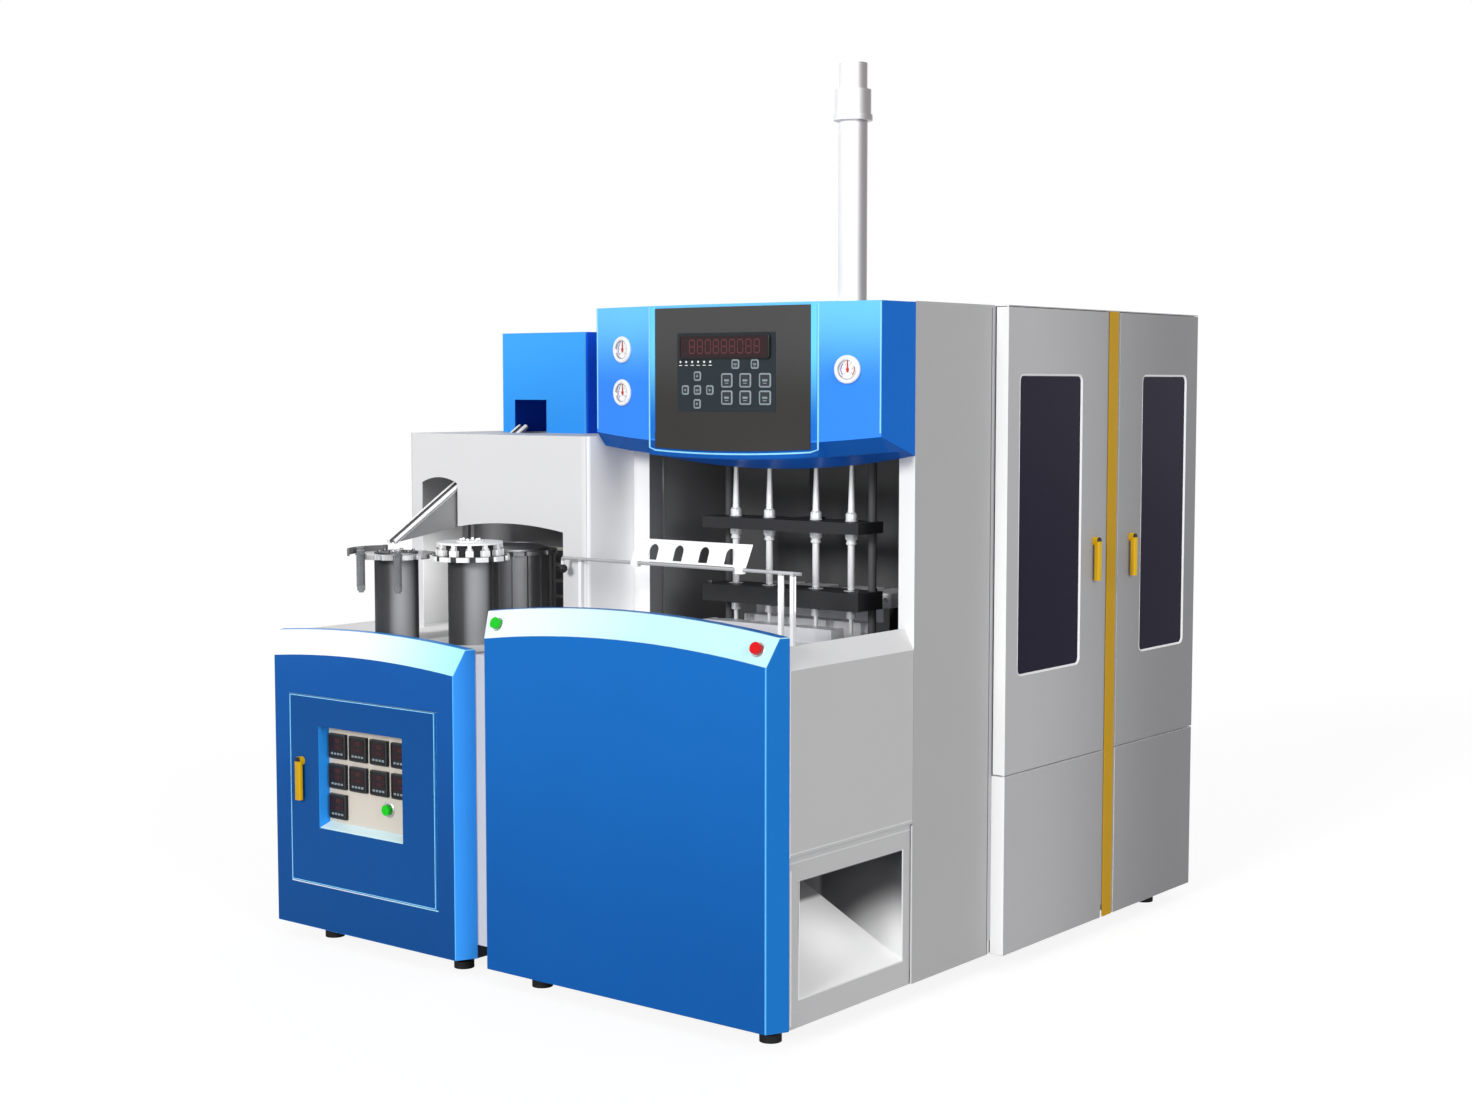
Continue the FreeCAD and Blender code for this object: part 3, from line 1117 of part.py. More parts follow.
def band_seat(x, z):
    """The point of the band's sloped face at x and z, and the face's outward direction there."""
    low, low_slope = arc_height(x, CONSOLE_W / 2 - CORNER_RUN)
    high, high_slope = arc_height(x, CONSOLE_W / 2 - CORNER_RUN * (1 - BAND_RUN / CORNER_DEPTH))
    rise = BAND_H + high - low
    share = (z - CONSOLE_LOW - low) / rise
    slope = low_slope + (high_slope - low_slope) * share
    lean = BAND_RUN / rise
    return V(x, BAND_RUN * share, z), V(-lean * slope, -1, lean).normalize()


def button_bore(x, z):
    seat, normal = band_seat(x, z)
    return Part.makeCylinder(BUTTON_STEM_BORE, 40, seat - normal * 20, normal)


def band_button(name):
    x, z = BUTTONS[name]
    seat, normal = band_seat(x, z)
    start = seat + normal * (BUTTON_TRAVEL + GAP)
    cap = Part.makeCylinder(BUTTON_R, BUTTON_CAP, start, normal)
    across = V(normal.y, -normal.x, 0).normalize()
    upward = normal.cross(across)
    corners = [start + normal + arm * BUTTON_STEM_R for arm in (across, upward, across * -1, upward * -1)]
    stem = Part.Face(Part.makePolygon(corners + corners[:1])).extrude(normal * -BUTTON_STEM)
    add(name, fuse([cap, stem]))


# ---- the whole machine --------------------------------------------------------------------
def build():
    base_frame()
    levelling_feet()
    front_console()
    side_panel()
    discharge_chute()
    front_deck()
    right_column()
    left_column()
    body_casing()
    bay_liner()
    door_surround()
    lower_cover()
    yellow_strip()
    hinge_pins()
    side_door("front_door", 0)
    side_door("rear_door", 1)
    control_head()
    control_panel()
    gauges()
    roof_pipe()
    guide_columns()
    stretch_plate()
    stretch_rods()
    nozzle_plate()
    moulds()
    clamp_bars()
    clamp_cylinder()
    stretch_cylinder()
    transfer_rail()
    transfer_plate()
    oven_housing()
    heater_lamps()
    pedestals()
    link = mesh_angle(INFEED_XY, TRANSFER_XY)
    star_wheel("infeed_star", INFEED_XY, link, 0)
    star_wheel("transfer_star", TRANSFER_XY, link + math.pi, CAP_DISC_UP)
    turret()
    preforms()
    chute()
    guide_strip()
    feeder_box()
    cabinet_shell()
    cabinet_body()
    cabinet_door()
    instrument_panel()
    for name in BUTTONS:
        band_button(name)


def footprint_shift():
    """Moves the datum to the centre of the footprint, on the floor."""
    whole = Part.makeCompound(list(PARTS.values())).BoundBox
    return V(-(whole.XMin + whole.XMax) / 2, -(whole.YMin + whole.YMax) / 2, -whole.ZMin)


build()
SHIFT = footprint_shift()
os.makedirs("parts", exist_ok=True)
for node, shape in PARTS.items():
    shape.translated(SHIFT).exportStep("parts/%s.step" % node)
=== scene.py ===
"""Looks of the blow moulding machine: paints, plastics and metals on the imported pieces, and the
trims, keys, dials, gaskets, bolts and fittings that are too fine for the solids.

Places are written in millimetres from the machine's own datum: x runs from the right side plane
(0) to the left (negative), y from the console's front face (0) to the back, z up from the floor.
Colours are written as 0 to 255 screen levels, or as one level for a grey.
"""

import json
import math

import bpy
from mathutils import Matrix, Vector

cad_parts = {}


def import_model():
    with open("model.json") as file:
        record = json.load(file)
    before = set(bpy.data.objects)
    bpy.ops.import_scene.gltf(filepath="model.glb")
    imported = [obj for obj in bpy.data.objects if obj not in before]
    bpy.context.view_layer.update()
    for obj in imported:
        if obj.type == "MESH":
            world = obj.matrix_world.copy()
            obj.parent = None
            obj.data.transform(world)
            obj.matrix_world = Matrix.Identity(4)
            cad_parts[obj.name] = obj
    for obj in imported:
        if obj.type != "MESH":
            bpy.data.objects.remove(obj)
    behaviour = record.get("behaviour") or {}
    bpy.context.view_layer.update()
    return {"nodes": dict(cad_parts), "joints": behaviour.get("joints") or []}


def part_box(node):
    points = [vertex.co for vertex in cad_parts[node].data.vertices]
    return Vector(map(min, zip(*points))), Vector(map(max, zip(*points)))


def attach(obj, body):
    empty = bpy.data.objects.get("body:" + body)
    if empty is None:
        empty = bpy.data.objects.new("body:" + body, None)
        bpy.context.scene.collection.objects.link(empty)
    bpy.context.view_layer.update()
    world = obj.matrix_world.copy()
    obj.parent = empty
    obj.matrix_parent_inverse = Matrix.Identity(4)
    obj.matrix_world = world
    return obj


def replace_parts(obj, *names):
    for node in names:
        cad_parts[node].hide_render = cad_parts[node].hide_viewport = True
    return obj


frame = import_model()

MM = 0.001
DATUM = Vector((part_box("side_panel")[1].x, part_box("front_console")[0].y, 0.0))


def at(x, y, z):
    """A place in millimetres from the datum, in the row frame."""
    return DATUM + Vector((x, y, z)) * MM


def span(node):
    """Lowest and highest corner of a node in millimetres from the datum."""
    low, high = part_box(node)
    return (low - DATUM) / MM, (high - DATUM) / MM


def middle(node):
    low, high = span(node)
    return (low + high) / 2


# ---- materials ----
def linear(colour):
    """A colour in linear light; the output of a node passes as it is."""
    if isinstance(colour, bpy.types.NodeSocket):
        return colour
    levels = colour if isinstance(colour, tuple) else (colour,) * 3
    light = [(level / 255 + 0.055) / 1.055 for level in levels]
    return tuple(value ** 2.4 if value > 0.09 else value * 1.055 / 12.92 for value in light) + (1.0,)


ORANGE_PEEL = (420.0, 0.00002)   # scale and depth of sprayed paint's fine waviness
BRUSH = (160.0, 0.00002)         # the same of a brushed surface
ALONG_Z = (1, 1, 0.04)           # streaks that run along z
ALONG_Y = (1, 0.05, 1)           # streaks that run along y


class Surface:
    """A material whose nodes are wired one call at a time."""

    def __init__(self, name, colour=None, shine=0.5, **sockets):
        self.material = bpy.data.materials.new(name)
        self.material.use_nodes = True
        self.tree = self.material.node_tree
        self.shader = self.tree.nodes["Principled BSDF"]
        for key, value in {"Specular_IOR_Level": shine, **sockets}.items():
            self.plug(self.shader.inputs[key.replace("_", " ")], value)
        self.place = self.add("TexCoord")
        self.name, self.colour = name, colour

    def plug(self, socket, value):
        if isinstance(value, bpy.types.NodeSocket):
            self.tree.links.new(value, socket)
        else:
            socket.default_value = value

    def add(self, kind, sockets=None, **settings):
        node = self.tree.nodes.new("ShaderNode" + kind)
        for key, value in settings.items():
            setattr(node, key, value)
        for key, value in (sockets or {}).items():
            self.plug(node.inputs[key], value)
        return node

    def math(self, operation, first, second=0.0):
        return self.add("Math", {0: first, 1: second}, operation=operation).outputs[0]

    def times(self, first, second):
        return self.math("MULTIPLY", first, second)

    def noise(self, scale, detail=3.0, stretch=(1, 1, 1)):
        """Smooth noise over the piece, in lengths of 1/scale metres."""
        spread = self.add("Mapping", {"Vector": self.place.outputs["Object"], "Scale": stretch})
        sockets = {"Vector": spread.outputs[0], "Scale": scale, "Detail": detail}
        return self.add("TexNoise", sockets).outputs["Fac"]

    def axis(self, axis, output="Object"):
        """The X, Y or Z of the position, in metres of the row frame, or of another output."""
        return self.add("SeparateXYZ", {0: self.place.outputs[output]}).outputs[axis]

    def facet(self, way):
        """How far the face itself looks along X, Y or Z, or against it with a minus before it."""
        turned = self.add("VectorTransform", {0: self.add("NewGeometry").outputs["True Normal"]},
                          vector_type="NORMAL", convert_from="WORLD", convert_to="OBJECT")
        value = self.add("SeparateXYZ", {0: turned.outputs[0]}).outputs[way[-1]]
        return self.times(value, -1.0) if way[0] == "-" else value

    def between(self, value, low, high):
        """0 below low and 1 above high, smooth in between."""
        return self.add("MapRange", {"Value": value, "From Min": low, "From Max": high},
                        interpolation_type="SMOOTHSTEP").outputs[0]

    def looks(self, way, low, high):
        """0 to 1 as faces turn to look that way."""
        return self.between(self.facet(way), low, high)

    def apart(self, axis, place):
        """How far a point lies past a place along an axis, in metres."""
        return self.math("SUBTRACT", self.axis(axis), DATUM["XYZ".index(axis)] + place * MM)

    def lies(self, axis, start, end):
        """0 to 1 from one place along an axis to another."""
        start, end = (DATUM["XYZ".index(axis)] + place * MM for place in (start, end))
        if start < end:
            return self.between(self.axis(axis), start, end)
        return self.between(self.times(self.axis(axis), -1.0), -start, -end)

    def level(self, value, low, high):
        """Maps 0 to 1 onto low to high."""
        return self.add("MapRange", {"Value": value, "To Min": low, "To Max": high}).outputs[0]

    def mix(self, share, first, second, **settings):
        sockets = {0: share, 6: linear(first), 7: linear(second)}
        return self.add("Mix", sockets, data_type="RGBA", **settings).outputs[2]

    def over(self, share, colour):
        """Lays a colour over what is there, by a share."""
        self.colour = self.mix(share, self.colour, colour)
        return self

    def past(self, axis, start, end, colour):
        """Another colour from one place along an axis to another, and beyond."""
        return self.over(self.lies(axis, start, end), colour)

    def towards(self, way, low, high, colour):
        """Another colour on faces that look that way."""
        return self.over(self.looks(way, low, high), colour)

    def tinted(self, scale, change):
        """Gives the shader the colour, with a slight uneven tone over the piece."""
        tone = self.level(self.noise(scale), 1 - change, 1 + change)
        grey = self.add("CombineColor", {0: tone, 1: tone, 2: tone}).outputs[0]
        self.plug(self.shader.inputs["Base Color"], self.mix(1.0, self.colour, grey, blend_type="MULTIPLY"))
        return self

    def rough(self, low, high, scale=18.0, stretch=(1, 1, 1)):
        self.plug(self.shader.inputs["Roughness"], self.level(self.noise(scale, 4.0, stretch), low, high))
        return self

    def bumped(self, scale, distance, stretch=(1, 1, 1)):
        sockets = {"Height": self.noise(scale, 3.0, stretch), "Distance": distance, "Strength": 1.0}
        self.plug(self.shader.inputs["Normal"], self.add("Bump", sockets).outputs[0])
        return self

    def sprayed(self, scale, change, low, high):
        """Finish of paint: uneven tone, roughness between two values and orange peel."""
        return self.tinted(scale, change).rough(low, high).bumped(*ORANGE_PEEL)

    def brushed(self, scale, change, low, high, stretch=ALONG_Z):
        """Finish of metal with fine streaks."""
        return self.tinted(scale, change).rough(low, high, BRUSH[0], stretch).bumped(*BRUSH, stretch)


def paint(name, colour, low=0.3, high=0.42, shine=0.3):
    return Surface(name, colour, shine).sprayed(5.0, 0.035, low, high)


def metal(name, colour, low, high):
    return Surface(name, colour, Metallic=1.0).brushed(30.0, 0.06, low, high)


def plastic(name, colour, low, high, grain=900.0, depth=0.00003, change=0.06, shine=0.2):
    return Surface(name, colour, shine).tinted(12.0, change).rough(low, high).bumped(grain, depth)


def folded_blue(name, node, lower, upper, side, fold_highlight, band_highlight=None):
    """Blue paint on folded sheet, with painted light and shade: the front darker towards the floor, a painted
    highlight along each folded edge, painted shading on the slanted side, and a strip that leans back with a
    painted highlight whose tone runs from left to right."""
    low, high = span(node)
    coat = Surface(name, lower, 0.08).past("Z", low.z, high.z, upper)
    coat.towards("X", 0.06, 0.2, fold_highlight).towards("X", 0.62, 0.86, side)
    if band_highlight:
        start, end, left, right = band_highlight
        run = coat.mix(coat.lies("X", start, end), left, right)
        coat.towards("Z", 0.1, 0.3, run).towards("Z", 0.6, 0.95, side)
    return coat.sprayed(5.0, 0.03, 0.28, 0.4)


def head_blue():
    """Painted light and shade on the head: its front is lighter towards the top, faces turning to the right get
    a painted highlight, and its side, underside and top are painted darker.
    """
    top = span("control_head")[1].z
    coat = Surface("head_blue", (56, 138, 250), 0.06).past("Z", top - 240, top, (110, 200, 254))
    coat.towards("X", 0.3, 0.45, (130, 215, 255)).towards("X", 0.7, 0.9, (4, 108, 206))
    coat.towards("-Z", 0.35, 0.7, (8, 88, 180)).towards("Z", 0.6, 0.9, (40, 120, 210))
    return coat.sprayed(5.0, 0.03, 0.28, 0.4)


def cover_grey(name, near, far, lit_white_from=None, lean=None):
    """Light paint with painted light and shade: painted shade darkens the side towards the back, painted light
    makes faces that look forward or up white above a height, and a strip that leans back may have its own
    lighter tone, a painted highlight."""
    coat = Surface(name, near, 0.2).past("Y", 1100, 2100, far)
    if lean:
        coat.towards("Z", 0.25, 0.4, lean)
    white = coat.math("MAXIMUM", coat.looks("-Y", 0.4, 0.8), coat.looks("Z", 0.6, 0.9))
    if lit_white_from:
        white = coat.times(white, coat.lies("Z", lit_white_from - 20, lit_white_from))
    return coat.over(white, 240).sprayed(3.0, 0.025, 0.34, 0.46)


def right_side(name, node, depth, colour, other):
    """Light paint, in another colour on the faces that look right, near the node's right end."""
    coat = Surface(name, colour, 0.2)
    edge = span(node)[1].x - depth
    share = coat.times(coat.looks("X", 0.5, 0.9), coat.lies("X", edge, edge + depth / 2))
    return coat.over(share, other)


def chute_white():
    """Discharge chute: white floor with painted shade that greys it to the left, to the back and deep inside,
    painted shade on the cheek and on faces that look right, and white at its lower front.
    """
    low, high = span("discharge_chute")
    coat = Surface("chute_white", shine=0.2)
    along = coat.lies("X", low.x, high.x)
    down = coat.math("ADD", along, coat.lies("Z", high.z, low.z))
    cheek = coat.mix(coat.between(down, 1.15, 1.95), (66, 66, 68), 236)
    reach = coat.math("ADD", coat.lies("Y", low.y, low.y + 300), along)
    ground = coat.mix(coat.between(reach, 0.4, 1.05), (150, 150, 151), 254)
    coat.colour = coat.mix(coat.looks("Z", 0.5, 0.8), cheek, ground)
    coat.towards("X", 0.6, 0.9, (140, 140, 142)).past("X", high.x - 272, high.x - 292, (128, 128, 130))
    return coat.sprayed(3.0, 0.02, 0.4, 0.5)


def oven_white():
    """Oven housing: white outside with painted light on faces that look right; inside, painted light makes the
    left wall light, greying towards the top, and painted shade makes the back wall dark.
    """
    low, high = span("oven_housing")
    coat = Surface("oven_white", (216, 216, 217), 0.15).towards("X", 0.5, 0.9, 246)
    inside = coat.lies("Y", low.y + 5, low.y + 7)
    for axis, start, end in (("X", high.x - 5, high.x - 6), ("X", low.x + 0.5, low.x + 1.5),
                             ("Y", high.y - 0.5, high.y - 1.5)):
        inside = coat.times(inside, coat.lies(axis, start, end))
    inside = coat.times(inside, coat.looks("-Z", -0.5, -0.3))
    left = coat.mix(coat.lies("Z", 1160, 1380), 250, (196, 196, 197))
    wall = coat.mix(coat.looks("-Y", 0.5, 0.9), left, (122, 122, 124))
    return coat.over(inside, wall).sprayed(3.0, 0.02, 0.4, 0.55)


RAIL_FOOT = (-1625.0, 188.0)     # lower end of the inclined rails
RAIL_ACROSS = (0.9936, -0.1134)  # direction from one rail to the other


def rail_pair():
    """Inclined rails: white outside, with painted shade where they face each other and grey painted shade on
    faces that look along x, and a dark post.
    """
    coat = Surface("rail_pair", (66, 66, 68), 0.3)
    parts = [coat.times(coat.apart(axis, RAIL_FOOT[i]), RAIL_ACROSS[i]) for i, axis in enumerate("XY")]
    off = coat.math("ADD", *parts)
    coat.over(coat.between(coat.math("ABSOLUTE", off), 0.0125, 0.0145), 250)
    coat.over(coat.between(coat.times(off, -1.0), 0.0090, 0.0105), 250)
    coat.over(coat.between(coat.math("ABSOLUTE", coat.facet("X")), 0.93, 0.97), (150, 150, 152))
    post = coat.times(coat.lies("Y", 450, 455), coat.lies("Z", 1310, 1290))
    return coat.over(post, (122, 122, 124)).sprayed(30.0, 0.02, 0.25, 0.4)


def star_white():
    """Transfer star: white wheel with dark pockets, under white grippers and disc."""
    coat = Surface("star_white", (60, 60, 62), 0.25)
    centre = middle("transfer_star")
    parts = [coat.apart(axis, place) for axis, place in (("X", centre.x), ("Y", centre.y))]
    square = coat.math("ADD", *(coat.times(part, part) for part in parts))
    coat.over(coat.between(square, 0.1105 ** 2, 0.1125 ** 2), 240)
    coat.past("Z", 1214.5, 1215.5, 248).past("Z", 1255.0, 1256.0, (124, 124, 126))
    return coat.sprayed(30.0, 0.02, 0.25, 0.4)


def bay_dark():
    """Lining of the bay: dark, with painted shade that makes the lower part of its back darker."""
    coat = Surface("bay_dark", (122, 122, 123), 0.1)
    rear = coat.mix(coat.lies("Z", 1360, 1460), (84, 84, 85), (126, 126, 127))
    return coat.towards("-Y", 0.5, 0.9, rear).sprayed(5.0, 0.03, 0.5, 0.65)


def drum_dark():
    """Brushed drum with a painted highlight: a light streak down the side that looks to the right, darker round
    it.
    """
    coat = Surface("drum_dark", (58, 58, 60), 0.2, Metallic=0.15)
    turned = coat.math("ADD", coat.times(coat.facet("X"), 0.92), coat.times(coat.facet("Y"), -0.39))
    return coat.over(coat.between(turned, 0.72, 1.0), (158, 158, 160)).brushed(30.0, 0.04, 0.4, 0.5)


def pipe_white():
    """Roof pipe: white in the middle, with painted shade that greys it where it turns away to the right."""
    coat = Surface("pipe_white", 250, 0.2)
    turned = coat.between(coat.axis("X", "Normal"), 0.72, 1.0)
    return coat.over(turned, (150, 146, 148)).sprayed(3.0, 0.02, 0.3, 0.4)


def make_materials():
    console, (cabinet_low, cabinet_high) = span("front_console")[0], span("cabinet_shell")
    return [
        folded_blue("console_blue", "front_console", (14, 86, 160), (22, 106, 188), (22, 110, 188),
                    (96, 184, 250), (console.x + 50, console.x + 700, (236, 250, 250), (196, 240, 242))),
        folded_blue("cabinet_blue", "cabinet_shell", (2, 72, 136), (8, 86, 162), (58, 154, 244), (96, 186, 255),
                    (cabinet_low.x + 300, cabinet_high.x + 50, (244, 250, 251), (170, 244, 250))),
        folded_blue("feeder_blue", "feeder_box", (52, 152, 240), (64, 164, 250), (4, 92, 250), (70, 160, 240)),
        head_blue(),
        # the door's window recess has lighter walls, painted light on the faces that look right and up
        Surface("door_blue", (4, 76, 142), 0.08).towards("X", 0.5, 0.9, (50, 160, 255))
        .towards("Z", 0.5, 0.9, (214, 250, 255)).sprayed(5.0, 0.03, 0.28, 0.4),
        # strips beside the head's panel, lighter towards the top as painted light
        Surface("trim_blue", (24, 116, 214), 0.1).past("Z", 1600, 1840, (112, 214, 252))
        .sprayed(12.0, 0.03, 0.4, 0.55),
        paint("lip_blue", (6, 84, 166), 0.3, 0.4, 0.06),
        # light cyan on beads of blue paint along edges and folds: a painted highlight
        paint("cyan_trim", (150, 222, 255), 0.25, 0.35),
        cover_grey("cover_grey", (192, 192, 193), (188, 188, 189), lean=(224, 224, 225)),
        cover_grey("column_grey", (176, 176, 177), (174, 174, 175), lit_white_from=1000.0),
        cover_grey("door_grey", (184, 184, 186), (138, 138, 140)),
        cover_grey("lower_grey", (180, 180, 182), (136, 136, 138)),
        # the box behind the left cabinet's front, warmer outside on its right, and painted light makes it white
        # on top
        right_side("post_grey", "cabinet_body", 2, (206, 206, 208), (208, 184, 184))
        .towards("Z", 0.5, 0.9, 254).sprayed(3.0, 0.02, 0.34, 0.46),
        # the left column, with painted shade where it lines the bay
        right_side("column_white", "left_column", 4, 240, (116, 116, 118)).sprayed(3.0, 0.02, 0.34, 0.46),
        pipe_white(),
        oven_white(),
        chute_white(),
        star_white(),
        rail_pair(),
        # white posts under a grey bar
        Surface("post_white", (250, 250, 251), Metallic=0.2).past("Z", 1197, 1198.5, (176, 176, 178))
        .sprayed(30.0, 0.02, 0.25, 0.4),
        paint("white_paint", (238, 238, 239), 0.35, 0.5),
        # the window sill's blue paint drawn near white: a painted highlight
        paint("sill_white", (226, 250, 255), 0.35, 0.45, 0.1),
        paint("rail_white", 244, 0.25, 0.4),
        paint("gasket", (240, 240, 241), 0.35, 0.5, 0.25),
        paint("seam_grey", (214, 214, 215), 0.4, 0.5, 0.2),
        paint("seam_dark", (96, 96, 98), 0.5, 0.6, 0.1),
        paint("strip_grey", (116, 116, 118), 0.4, 0.5, 0.1),
        paint("guide_dark", (84, 84, 86), 0.35, 0.5, 0.2),
        paint("plate_dark", (52, 52, 54), 0.4, 0.55, 0.1),
        paint("frame_dark", (70, 70, 73), 0.45, 0.6, 0.1),
        bay_dark(),
        drum_dark(),
        paint("gold", (192, 148, 4), 0.3, 0.42, 0.1),
        # painted shade: the levers are a little darker on their faces that look to the front
        Surface("gold_handle", (226, 180, 18), 0.15).towards("-Y", 0.5, 0.9, (198, 152, 8))
        .sprayed(5.0, 0.035, 0.3, 0.4),
        metal("steel", (206, 206, 209), 0.2, 0.34),
        metal("black_steel", (70, 70, 72), 0.35, 0.5),
        metal("turret_grey", (132, 132, 134), 0.42, 0.52),
        metal("cap_grey", (176, 176, 178), 0.4, 0.5),
        Surface("rod_white", (250, 250, 251), Metallic=0.25).brushed(30.0, 0.02, 0.24, 0.34),
        Surface("aluminium", (226, 226, 229), Metallic=0.45).brushed(30.0, 0.04, 0.3, 0.42, ALONG_Y),
        Surface("block_silver", (240, 240, 243), Metallic=0.2).tinted(20.0, 0.04)
        .rough(0.35, 0.5, 120.0, ALONG_Y).bumped(*BRUSH, ALONG_Y),
        # the dark panel, lighter towards the top as painted light
        Surface("panel_dark", (56, 55, 54), 0.1).past("Z", 1640, 1880, 74).sprayed(12.0, 0.03, 0.4, 0.55),
        plastic("panel_beige", (206, 198, 187), 0.35, 0.45, 900.0, 0.00001, 0.02),
        plastic("membrane", (44, 51, 56), 0.3, 0.42, shine=0.1),
        plastic("key_pale", (136, 148, 154), 0.35, 0.45),
        plastic("key_dark", (52, 56, 60), 0.35, 0.45),
        plastic("black", (34, 34, 36), 0.3, 0.42),
        plastic("rubber", (30, 30, 31), 0.6, 0.75, 600.0, 0.00006),
        plastic("ceramic", (214, 208, 196), 0.5, 0.65),
        plastic("dial_white", 244, 0.25, 0.35, 900.0, 0.00001, 0.02),
        plastic("dial_red", (196, 60, 50), 0.3, 0.4),
        plastic("dial_blue", (60, 70, 170), 0.3, 0.4),
        plastic("button_red", (214, 14, 22), 0.3, 0.4, 300.0, 0.00002),
        plastic("button_green", (4, 196, 30), 0.3, 0.4, 300.0, 0.00002),
        Surface("display_red", (46, 30, 34), 0.2).tinted(40.0, 0.1).rough(0.2, 0.3),
        Surface("digit_red", (96, 50, 52), 0.2).tinted(60.0, 0.05).rough(0.3, 0.4),
        Surface("glass_dark", (30, 26, 46), 0.06).tinted(3.0, 0.05).rough(0.16, 0.24, 4.0).bumped(3.0, 0.0002),
        Surface("preform", (170, 173, 176), Transmission_Weight=0.7, IOR=1.35)
        .tinted(50.0, 0.08).rough(0.12, 0.22),
    ]


MATERIALS = {coat.name: coat.material for coat in make_materials()}

NODE_MATERIALS = """
console_blue: front_console
cabinet_blue: cabinet_shell
door_blue: cabinet_door
feeder_blue: feeder_box
head_blue: control_head
cover_grey: side_panel front_deck
post_grey: cabinet_body
column_white: left_column
pipe_white: roof_pipe
column_grey: right_column body_casing
door_grey: front_door rear_door door_surround
lower_grey: lower_cover
oven_white: oven_housing
chute_white: discharge_chute
bay_dark: bay_liner
plate_dark: stretch_plate nozzle_plate
drum_dark: star_pedestals
turret_grey: turret
frame_dark: base_frame clamp_cylinder stretch_cylinder
gold: yellow_strip
gold_handle: front_door_handle rear_door_handle cabinet_door_handle
glass_dark: front_door_window rear_door_window
panel_dark: control_panel
membrane: display_window
steel: clamp_bars hinge_pins infeed_star
strip_grey: guide_strip
guide_dark: guide_columns
rod_white: stretch_rods
post_white: transfer_rail
aluminium: front_mould rear_mould front_platen rear_platen
rail_white: transfer_plate
rail_pair: chute_rails
star_white: transfer_star
rubber: levelling_feet
preform: preforms
dial_white: gauge_cases
panel_beige: instrument_panel
dial_red: gauge_needle_1 gauge_needle_2 gauge_needle_3
black: instruments
button_red: red_button
button_green: green_button cabinet_button
ceramic: heater_lamps
"""

BENDS = {   # nodes by the radius that their edges are rounded with
    3.0: "front_console cabinet_shell",
    2.5: "front_door rear_door lower_cover oven_housing feeder_box green_button red_button cabinet_button",
    2.0: "right_column side_panel left_column nozzle_plate",
    1.5: "yellow_strip stretch_plate instruments control_panel",
    1.2: "cabinet_door discharge_chute",
    0.8: "transfer_plate",
}


def dress_nodes():
    for row in NODE_MATERIALS.strip().split("\n"):
        name, nodes = row.split(": ")
        for node in nodes.split():
            slots = frame["nodes"][node].data.materials
            if not len(slots):
                slots.append(MATERIALS[name])
            for index in range(len(slots)):
                slots[index] = MATERIALS[name]


def soften(piece, width, segments, weld=False):
    """Rounds a piece's sharp edges; a node's own mesh stays as it is and its corners are joined first."""
    if weld:
        piece.modifiers.new("joined", "WELD").merge_threshold = 0.00002
    bevel = piece.modifiers.new("bend", "BEVEL")
    bevel.width = width * MM
    bevel.segments = segments
    bevel.limit_method = "ANGLE"
    if weld:
        bevel.angle_limit = math.radians(25)
        piece.modifiers.new("shading", "WEIGHTED_NORMAL").keep_sharp = False


# ---- building meshes ----
def rounded(width, height, radius, steps=5):
    """The outline of a rounded rectangle about the origin."""
    points = []
    radius = max(radius, 0.01)
    for cx, cy, start in ((1, 1, 0), (-1, 1, 90), (-1, -1, 180), (1, -1, 270)):
        for step in range(steps + 1):
            angle = math.radians(start + 90 * step / steps)
            points.append((cx * (width / 2 - radius) + radius * math.cos(angle),
                           cy * (height / 2 - radius) + radius * math.sin(angle)))
    return points


def circle(radius, steps):
    angles = [2 * math.pi * step / steps for step in range(steps)]
    return [(radius * math.cos(angle), radius * math.sin(angle)) for angle in angles]


def facing(origin, normal, up=(0, 0, 1)):
    """A place on a face: x to the right and y up, seen from outside, and z outwards, in millimetres."""
    outward = Vector(normal).normalized()
    right = Vector(up).cross(outward).normalized()
    turn = Matrix((right, outward.cross(right), outward)).transposed().to_4x4()
    return Matrix.Translation(origin) @ turn @ Matrix.Scale(MM, 4)


def upward(x, y, z=0.0, way=1):
    """A place that looks up, or down with -1."""
    return facing(at(x, y, z), (0, 0, way), (0, 1, 0))


def on_axis(node, z=0.0):
    """A place on the upright line through a node's middle."""
    return upward(middle(node).x, middle(node).y, z)


def forward(x, y, z):
    """A place that looks to the front."""
    return facing(at(x, y, z), (0, -1, 0))


def shifted(place, x, y, z=0.0):
    return place @ Matrix.Translation((x, y, z))


def spun(place, turns):
    return place @ Matrix.Rotation(2 * math.pi * turns, 4, "Z")


def added(name, data):
    thing = bpy.data.objects.new(name, data)
    bpy.context.scene.collection.objects.link(thing)
    return thing


